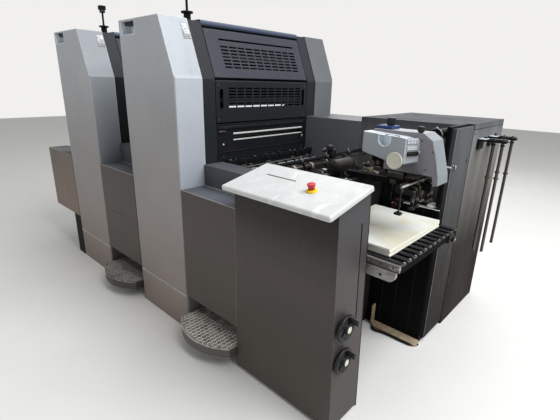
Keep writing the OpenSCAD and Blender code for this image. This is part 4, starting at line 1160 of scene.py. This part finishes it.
def fitSuckers():
    # Carrier, blow bar, spring sleeves, cups, valves, small pipes and the pile feeler
    # Dark steel for the springs and small parts under the head, darkened as painted shade
    shadedSteel = tinted("shadedSteelPaint", oilyLook, "#2b2825", edge=0.5, edgeTone="#8d8780")
    dullSteel = tinted("dullSteel", brightLook, "#b3b3b0", metal=0.4, rough=0.42)
    darkBlock = wear("suckerBlack", suckerLook)
    parts = Build("suckerFittings", shadedSteel, brassy, moulded, oily, darkBlock, dullSteel)
    for low, high in (((860, 517.5, 975.3), (940, 567.5, 1022)), ((785, 502, 1024), (849, 583, 1100)),
                      ((849, 510, 1002), (861, 575, 1022)), ((835, 510, 1016), (851, 575, 1032)),
                      ((985, 430, 1010), (1035, 650, 1022)), ((985, 430, 981), (998, 650, 1010.2))):
        parts.box(low, high, 4, 2.0)
    parts.rod((795, 492, 1036), (795, 503, 1036), 12, 3, 1.5, 28)
    parts.rod((825, 486, 1044), (825, 503, 1044), 9, 3, 1.5, 28)
    parts.rod((1006, 366, 987), (1006, 584, 987), 4.6, 5, 1.2, 16)
    parts.box((998, 570, 981), (1013, 580, 994), 0, 1.6)
    x, cup = suckers["x"], suckers["cup"]
    for y in suckers["across"]:
        parts.box((997, y - 9, 962), (1031, y + 9, 976), 4, 2.0)
        parts.rod((x, y, cup + 9), (x, y, 978), 7, 4, 0.8, 24)
        parts.lathe([(0, 7), (1.5, 12), (4, 14), (8, 14), (10, 9), (12, 7)], (x, y, cup), (0, 0, 1), 2, 28)
        parts.lathe([(0, 7.3), (1, 9), (14, 9), (15, 7.3)], (x, y, 912), (0, 0, 1), 3, 20)
        parts.lathe([(0, 7.3), (1, 10.5), (5, 10.5), (6, 7.3)], (x, y, 956), (0, 0, 1), 3, 20)
        turns = [(x + 9.2 * math.cos(t * 0.7), y + 9.2 * math.sin(t * 0.7),
                  928 + t * 0.52) for t in range(56)]
        parts.tube(turns, 1.1, 0, 6)
        parts.screw((1031, y, 969), (1, 0, 0), 3.6, 2.0, 1)
    for x, y, z in ((1000, 560, 940), (1012, 545, 925), (998, 520, 930)):
        parts.box((x - 9, y - 9, z), (x + 9, y + 9, z + 50), 3, 2.0)
        parts.screw((x, y - 9, z + 24), (0, -1, 0), 4, 2.5, 1)
    parts.tube([(990, 470, 982), (975, 465, 955), (960, 470, 940), (945, 490, 948)], 3.4, 2)
    parts.tube([(1028, 470, 1011), (1034, 480, 950), (1032, 510, 925), (1022, 530, 930)], 3.0, 0)
    parts.tube([(1030, 615, 1011), (1034, 612, 962), (1032, 590, 930), (1024, 585, 915)], 3.0, 0)
    parts.box((1008, 500, 902), (1032, 540, 912), 3, 1.6)
    parts.box((988, 560, 905), (1008, 588, 982), 4, 2.0)
    parts.box((968, 500, 956), (990, 560, 982), 3, 2.5)
    for i in range(4):
        parts.screw((989 + i * 11, 430, 1016), (0, -1, 0), 3.2, 1.6, i % 2)
    parts.box((990, 378, 981), (1001.5, 430.5, 995), 0, 2.0)
    parts.rod((996, 385, 874), (996, 385, 983), 3.6, 2, 0.0, 20)
    parts.lathe([(0, 4.2), (1, 6.5), (13, 6.5), (14, 4.2)], (996, 385, 900), (0, 0, 1), 2, 16)
    parts.lathe([(0, 4.2), (1, 7.5), (11, 7.5), (12, 4.2)], (996, 385, 966), (0, 0, 1), 0, 16)
    parts.box((980, 373, 866), (1010, 397, 876), 2, 3.0, 3)
    parts.box((987, 378, 875.5), (1005, 392, 880), 2, 1.5)
    for x in (880, 905, 930):
        parts.screw((x, 517, 1000), (0, -1, 0), 4.5, 3, 1)
    parts.box((862, 514, 985), (938, 517.6, 1012), 3, 1.0)
    parts.ride("head", "sucker_unit", "sucker_unit")


lineHeadNotch()
labelHeadEnd()
finishHead()
fitSuckers()
print("suction head fitted out")


# Pile board, paper and bay

board = {"first": 256.0, "pitch": 542 / 11, "ribs": 12, "rib": 30.0, "top": 715.0, "end": 1100.0}


def trimBoard():
    trim = Build("boardTrim", oily, plateMark, moulded, bright, capGrey)
    top, end = board["top"], board["end"]
    for i in range(board["ribs"]):
        y = board["first"] + i * board["pitch"]
        trim.box((675, y + 2, top - 0.2), (1088, y + board["rib"] - 2, top + 0.9), 2, 0.4)
        if i < board["ribs"] - 1:
            start, stop = y + board["rib"] + 1, y + board["pitch"] - 1
            wedge = [(end - 30, top - 12), (end - 8.5, top - 12), (end - 8.5, top - 4)]
            trim.add(plateSolid(wedge, "y", start, stop), 1)
        trim.box((end - 10, y + 1, top - 5), (end + 0.6, y + board["rib"] - 1, top + 0.4), 0, 1.2)
        trim.box((end - 5, y + board["rib"] - 4, top - 3), (end + 0.9, y + board["rib"] - 1, top + 0.6), 4,
                 0.6)
    trim.box((end - 4, 728, 668), (end + 6, 782, 708), 2, 1.5)
    trim.lathe([(0, 14), (2, 17), (12, 17), (14, 14), (15, 7)], (end + 4, 764, 684), (1, 0, 0), 2, 28)
    trim.lathe([(0, 4.5), (2.5, 4.5), (3.5, 3)], (end + 18, 764, 684), (1, 0, 0), 3, 14)
    trim.box((end + 4, 732, 692), (end + 9, 746, 704), 0, 1.0)
    trim.box((676, 256.5, top - 1.5), (1090, 268, top + 3.0), 2, 1.0)
    trim.ride("pile_lift", "pile_board")
    rail = Build("railFittings", moulded, bright, railFinish)
    for x, z in ((872, 655), (1020, 655)):
        rail.screw((x, 241, z), (0, -1, 0), 5.5, 3, 0)
    for x in (760, 800, 850, 905, 960, 1015, 1070):
        rail.screw((x, 241, 700), (0, -1, 0), 3.6, 2.4, 0 if x % 20 else 1)
    rail.box((704, 238.6, 684.2), (1094, 241.2, 687.4), 0, 0.5)
    rail.box((700, 236, 690), (722, 241.2, 712), 2, 2.0)
    rail.ride("pile_lift", "board_rail")


paper = {"low": (673.0, 288.0, 715.9), "high": (1026.0, 788.0, 750.0), "leaves": 15}


def stackPaper():
    # Reams laid on each other a little askew, the top sheets lifting at their corners
    pile = Build("paperStack", paperFinish)
    low, high = Vector(paper["low"]), Vector(paper["high"])
    middle = (low + high) / 2
    count = paper["leaves"]
    step = (high.z - low.z) / count
    for i in range(count):
        solid = boxSolid((low.x - middle.x, low.y - middle.y, 0.15),
                         (high.x - middle.x, high.y - middle.y, step))
        bmesh.ops.subdivide_edges(solid, edges=solid.edges[:], cuts=9, use_grid_fill=True)
        lift = 1.2 if i < count - 1 else 2.6
        for corner in solid.verts:
            u = corner.co.x / (high.x - low.x) * 2
            v = corner.co.y / (high.y - low.y) * 2
            if corner.co.z > step * 0.6:
                corner.co.z += lift * 0.25 * (u * u) * (v * v) * (1 + math.sin(i * 2.1 + u * 2))
        group = math.sin(i * 0.9) * 1.6
        turn = (dice.random() - 0.5) * 0.006 + 0.002 * math.sin(i * 1.7)
        shift = Vector((group + (dice.random() - 0.5) * 2.0, (dice.random() - 0.5) * 3.0, 0))
        place = Matrix.Translation(Vector((middle.x, middle.y, low.z + i * step)) + shift)
        pile.add(solid, 0, 0.0, 2, place @ Matrix.Rotation(turn, 4, "Z"))
    pile.ride("pile_lift", "paper_pile", "paper_pile")


def finishBay():
    folds = Build("bayFolds", bayBlack, bright, rustRed, plateMark)
    for x in (742, 826, 915):
        folds.box((x, 836.2, 20), (x + 12, 838.1, 776), 0, 0.8)
    folds.lathe([(0, 17), (2, 18.5), (3.4, 17.5), (4.4, 12), (3.6, 7)], (757, 838, 757), (0, -1, 0), 2, 28)
    folds.lathe([(0, 5), (4, 5), (4.8, 3)], (748, 838, 768), (0, -1, 0), 1, 14)
    folds.box((760, 839, 782), (800, 860, 792), 2, 2.5)
    folds.rod((997, 845, 1002), (1019, 845, 1002), 3.6, 3, 0.8, 16)
    folds.box((996.9, 840, 984), (1001, 851, 996), 0, 1.0)
    folds.box((996.9, 900, 36), (1002, 916, 50), 1, 1.5)
    folds.tube([(1000, 904, 43), (1010, 906, 40), (1014, 910, 32)], 2.4, 1)
    folds.ride("press", "bay_wall")
    tube = Build("sillTube", moulded)
    tube.tube(smoothRun([(737, 790, 9), (752, 766, 8), (775, 759, 8), (830, 771, 8), (922, 774, 8),
                         (975, 778, 8),
                         (1000, 796, 8), (1008, 812, 9)], 6), 7.0, 0, 12)
    tube.ride("press", "bay_sill")
    guide = Build("sideGuideFittings", bright, oily, plateMark)
    guide.box((808, 833.6, 780.2), (1003, 838.4, 783), 2, 0.8)
    guide.box((940, 838.4, 784), (966, 852, 808), 0, 2.5)
    guide.box((948, 850, 800), (972, 872, 812), 0, 2.0)
    guide.rod((934, 846, 794), (978, 846, 794), 5.5, 0, 1.0, 16)
    guide.lathe([(0, 7), (2, 9), (8, 9), (9, 7)], (978, 846, 794), (1, 0, 0), 1, 20)
    guide.screw((953, 838.4, 797), (0, -1, 0), 5, 2.6, 2)
    guide.screw((727, 840, 890), (0, -1, 0), 4, 2.6, 1)
    guide.ride("press", "side_guide")


trimBoard()
stackPaper()
finishBay()
print("pile and bay fitted out")


# Cabinet

def fitCabinet():
    # Latch, seams and screws of the panel, lock of the door, hooks and caps of the rack, clip of the duct
    panel = Build("panelFittings", moulded, cabinetSeam)
    panel.lathe([(0, 8), (1.6, 8), (2.4, 6.8), (1.6, 3)], (1017, 1509, 1115), (1, 0, 0), 0, 20)
    panel.box((1017, 1112, 1161.5), (1017.9, 1640, 1164), 1, 0.3)
    panel.box((1016.8, 1109, 1160), (1018, 1111.5, 1192), 1, 0.3)
    for y, z in ((1128, 60), (1620, 60), (1620, 1140), (1128, 1140)):
        panel.screw((1017, y, z), (1, 0, 0), 4.5, 1.8, 0)
    panel.ride("press", "cabinet_panel")
    door = Build("doorLock", bright, moulded, capGrey)
    door.lathe([(0, 12.6), (1.0, 12.6), (1.8, 11.4)], (1017, 887, 1000), (1, 0, 0), 0, 28)
    door.lathe([(0, 9.6), (1.6, 9.2), (2.2, 7.5)], (1027, 887, 1000), (1, 0, 0), 0, 28)
    door.box((1028.6, 885.6, 992.5), (1029.6, 888.4, 1007.5), 1, 0.3)
    # Light strip down the door's left edge: painted highlight
    door.box((1016.4, 855.6, 40), (1018.0, 858.2, 1174), 2, 0.4)
    door.box((1017, 1060, 1000), (1018.2, 1072, 1018), 1, 0.4)
    door.ride("door", "cabinet_door")
    rack = Build("rackFittings", labelGrey, moulded, oily)
    for y in (1205, 1390):
        rack.box((1018, y - 17, 1110), (1058, y + 56, 1111.2), 0, 0.5)
        rack.screw((1029, y + 40, 1060), (1, 0, 0), 6, 4, 2)
        rack.screw((1029, y - 4, 1060), (1, 0, 0), 6, 4, 2)
        rack.lathe([(0, 9), (6, 9), (8, 7)], (1040, y + 44, 1111), (0, 0, 1), 1, 18)
        for x in (1137, 1094):
            rack.lathe([(0, 20.2), (1.2, 20.6), (3.2, 20.6), (4.2, 19.4)], (x, y, 1114), (0, 0, 1), 1, 36)
            rack.lathe([(0, 4.5), (3.5, 4.5), (4.4, 3.4)], (x, y, 1118), (0, 0, 1), 1, 14)
            rack.lathe([(0, 8.4), (1, 11.5), (8, 11.5), (9, 8.4)], (x, y, 1082), (0, 0, 1), 1, 20)
            rack.lathe([(0, 3.0), (5, 7.6), (6, 8.2)], (x, y, 488.2), (0, 0, 1), 2, 16)
    rack.ride("press", "rod_rack")
    duct = Build("ductClip", bright, moulded)
    duct.ring((944, 1155), 28.6, 26.6, "y", 796, 803, 0)
    duct.box((940, 794, 1182), (948, 805, 1190), 0, 1.2)
    for y in range(826, 980, 11):
        duct.ring((944, 1155), 23.4, 21.8, "y", y, y + 5, 1)
    duct.ride("press", "air_duct")


def trimDelivery():
    # Turned rims of the two delivery covers and of the low trays; the light grey rims are wear together with
    # painted highlight along the top edges
    wearAndLight = tinted("rimWearAndHighlight", blackLook, "#96938f", edge=0.5, edgeTone="#c9c7c4", ior=1.2)
    trayGrey = tinted("trayPaint", blackLook, "#595c61", edge=0.4, edgeTone="#a5a9ae", ior=1.2)
    rims = Build("trayRims", wearAndLight, trayGrey)
    for x0, x1, top in ((-1952, -1464, 812), (-957, -507, 825), (0, 421, 838)):
        rims.box((x0 + 1, 0.2, top), (x1 - 1, 4.0, top + 3.0), 0, 1.0)
        rims.box((x0 + 1, 144, top), (x1 - 1, 149.6, top + 3.0), 0, 1.0)
        rims.box((x0 + 1, 4.0, top), (x1 - 1, 144, top + 1.0), 1, 0.4)
    rims.box((-1952, 4, 812), (-1948, 144, 815), 0, 1.0)
    rims.ride("press", "low_covers")


fitCabinet()
trimDelivery()
print("cabinet fitted out")


# Stage

daylight = {"lit": ((0.93, 0.96, 1.0, 1.0), 0.37), "seen": (rgb("#f1f0ee"), 1.0)}
lamps = {
    "key": {"from": (4.4, 0.5, 5.4), "to": (0.0, 0.0, 0.9), "size": 4.4, "watts": 490.0,
            "tint": (0.95, 0.975, 1.0)},
    "front": {"from": (-1.2, -4.6, 2.4), "to": (0.0, 0.0, 0.8), "size": 3.0, "watts": 29.0,
              "tint": (1.0, 0.98, 0.95)},
    "top": {"from": (0.0, 0.6, 4.4), "to": (0.0, 0.0, 0.9), "size": 3.4, "watts": 40.0,
            "tint": (1.0, 1.0, 1.0)},
    "back": {"from": (-1.0, 4.6, 3.0), "to": (0.0, 0.0, 0.9), "size": 3.0, "watts": 40.0,
             "tint": (0.97, 0.98, 1.0)},
}


def buildStage():
    floor = bpy.data.meshes.new("floor")
    reach = 14
    floor.from_pydata([(-reach, -reach, 0), (reach, -reach, 0), (reach, reach, 0), (-reach, reach, 0)],
                      [], [(0, 1, 2, 3)])
    ground = bpy.data.objects.new("floor", floor)
    bpy.context.scene.collection.objects.link(ground)
    paint = Paint("floorPaint")
    speck = paint.noise(3.0, 4.0, 0.6)
    floor.materials.append(paint.finish(paint.mix(speck, rgb("#e4e2dd"), rgb("#dcdad5")), 0.6))
    studio = Paint("studio", bpy.data.worlds)
    bpy.context.scene.world = studio.material
    camera, glossy, through = [studio.node("ShaderNodeLightPath", out=f"Is {ray} Ray")
                               for ray in ("Camera", "Glossy", "Transmission")]
    either = camera.maths("MAXIMUM", camera.maths("MAXIMUM", camera, glossy), through)
    lit, seen = [studio.node("ShaderNodeBackground", None, {"Color": colour, "Strength": strength})
                 for colour, strength in (daylight["lit"], daylight["seen"])]
    blend = studio.node("ShaderNodeMixShader", None, {0: either, 1: lit, 2: seen})
    studio.node("ShaderNodeOutputWorld", None, {"Surface": blend})


def hangLamps():
    for name, lamp in lamps.items():
        light = bpy.data.lights.new(name, "AREA")
        light.shape = "SQUARE"
        light.size = lamp["size"]
        light.energy = lamp["watts"]
        light.color = lamp["tint"]
        holder = bpy.data.objects.new(name, light)
        bpy.context.scene.collection.objects.link(holder)
        holder.location = lamp["from"]
        look = Vector(lamp["to"]) - Vector(lamp["from"])
        holder.rotation_euler = look.to_track_quat("-Z", "Y").to_euler()


buildStage()
hangLamps()
bpy.context.scene.view_settings.view_transform = "Standard"
print("stage lit")
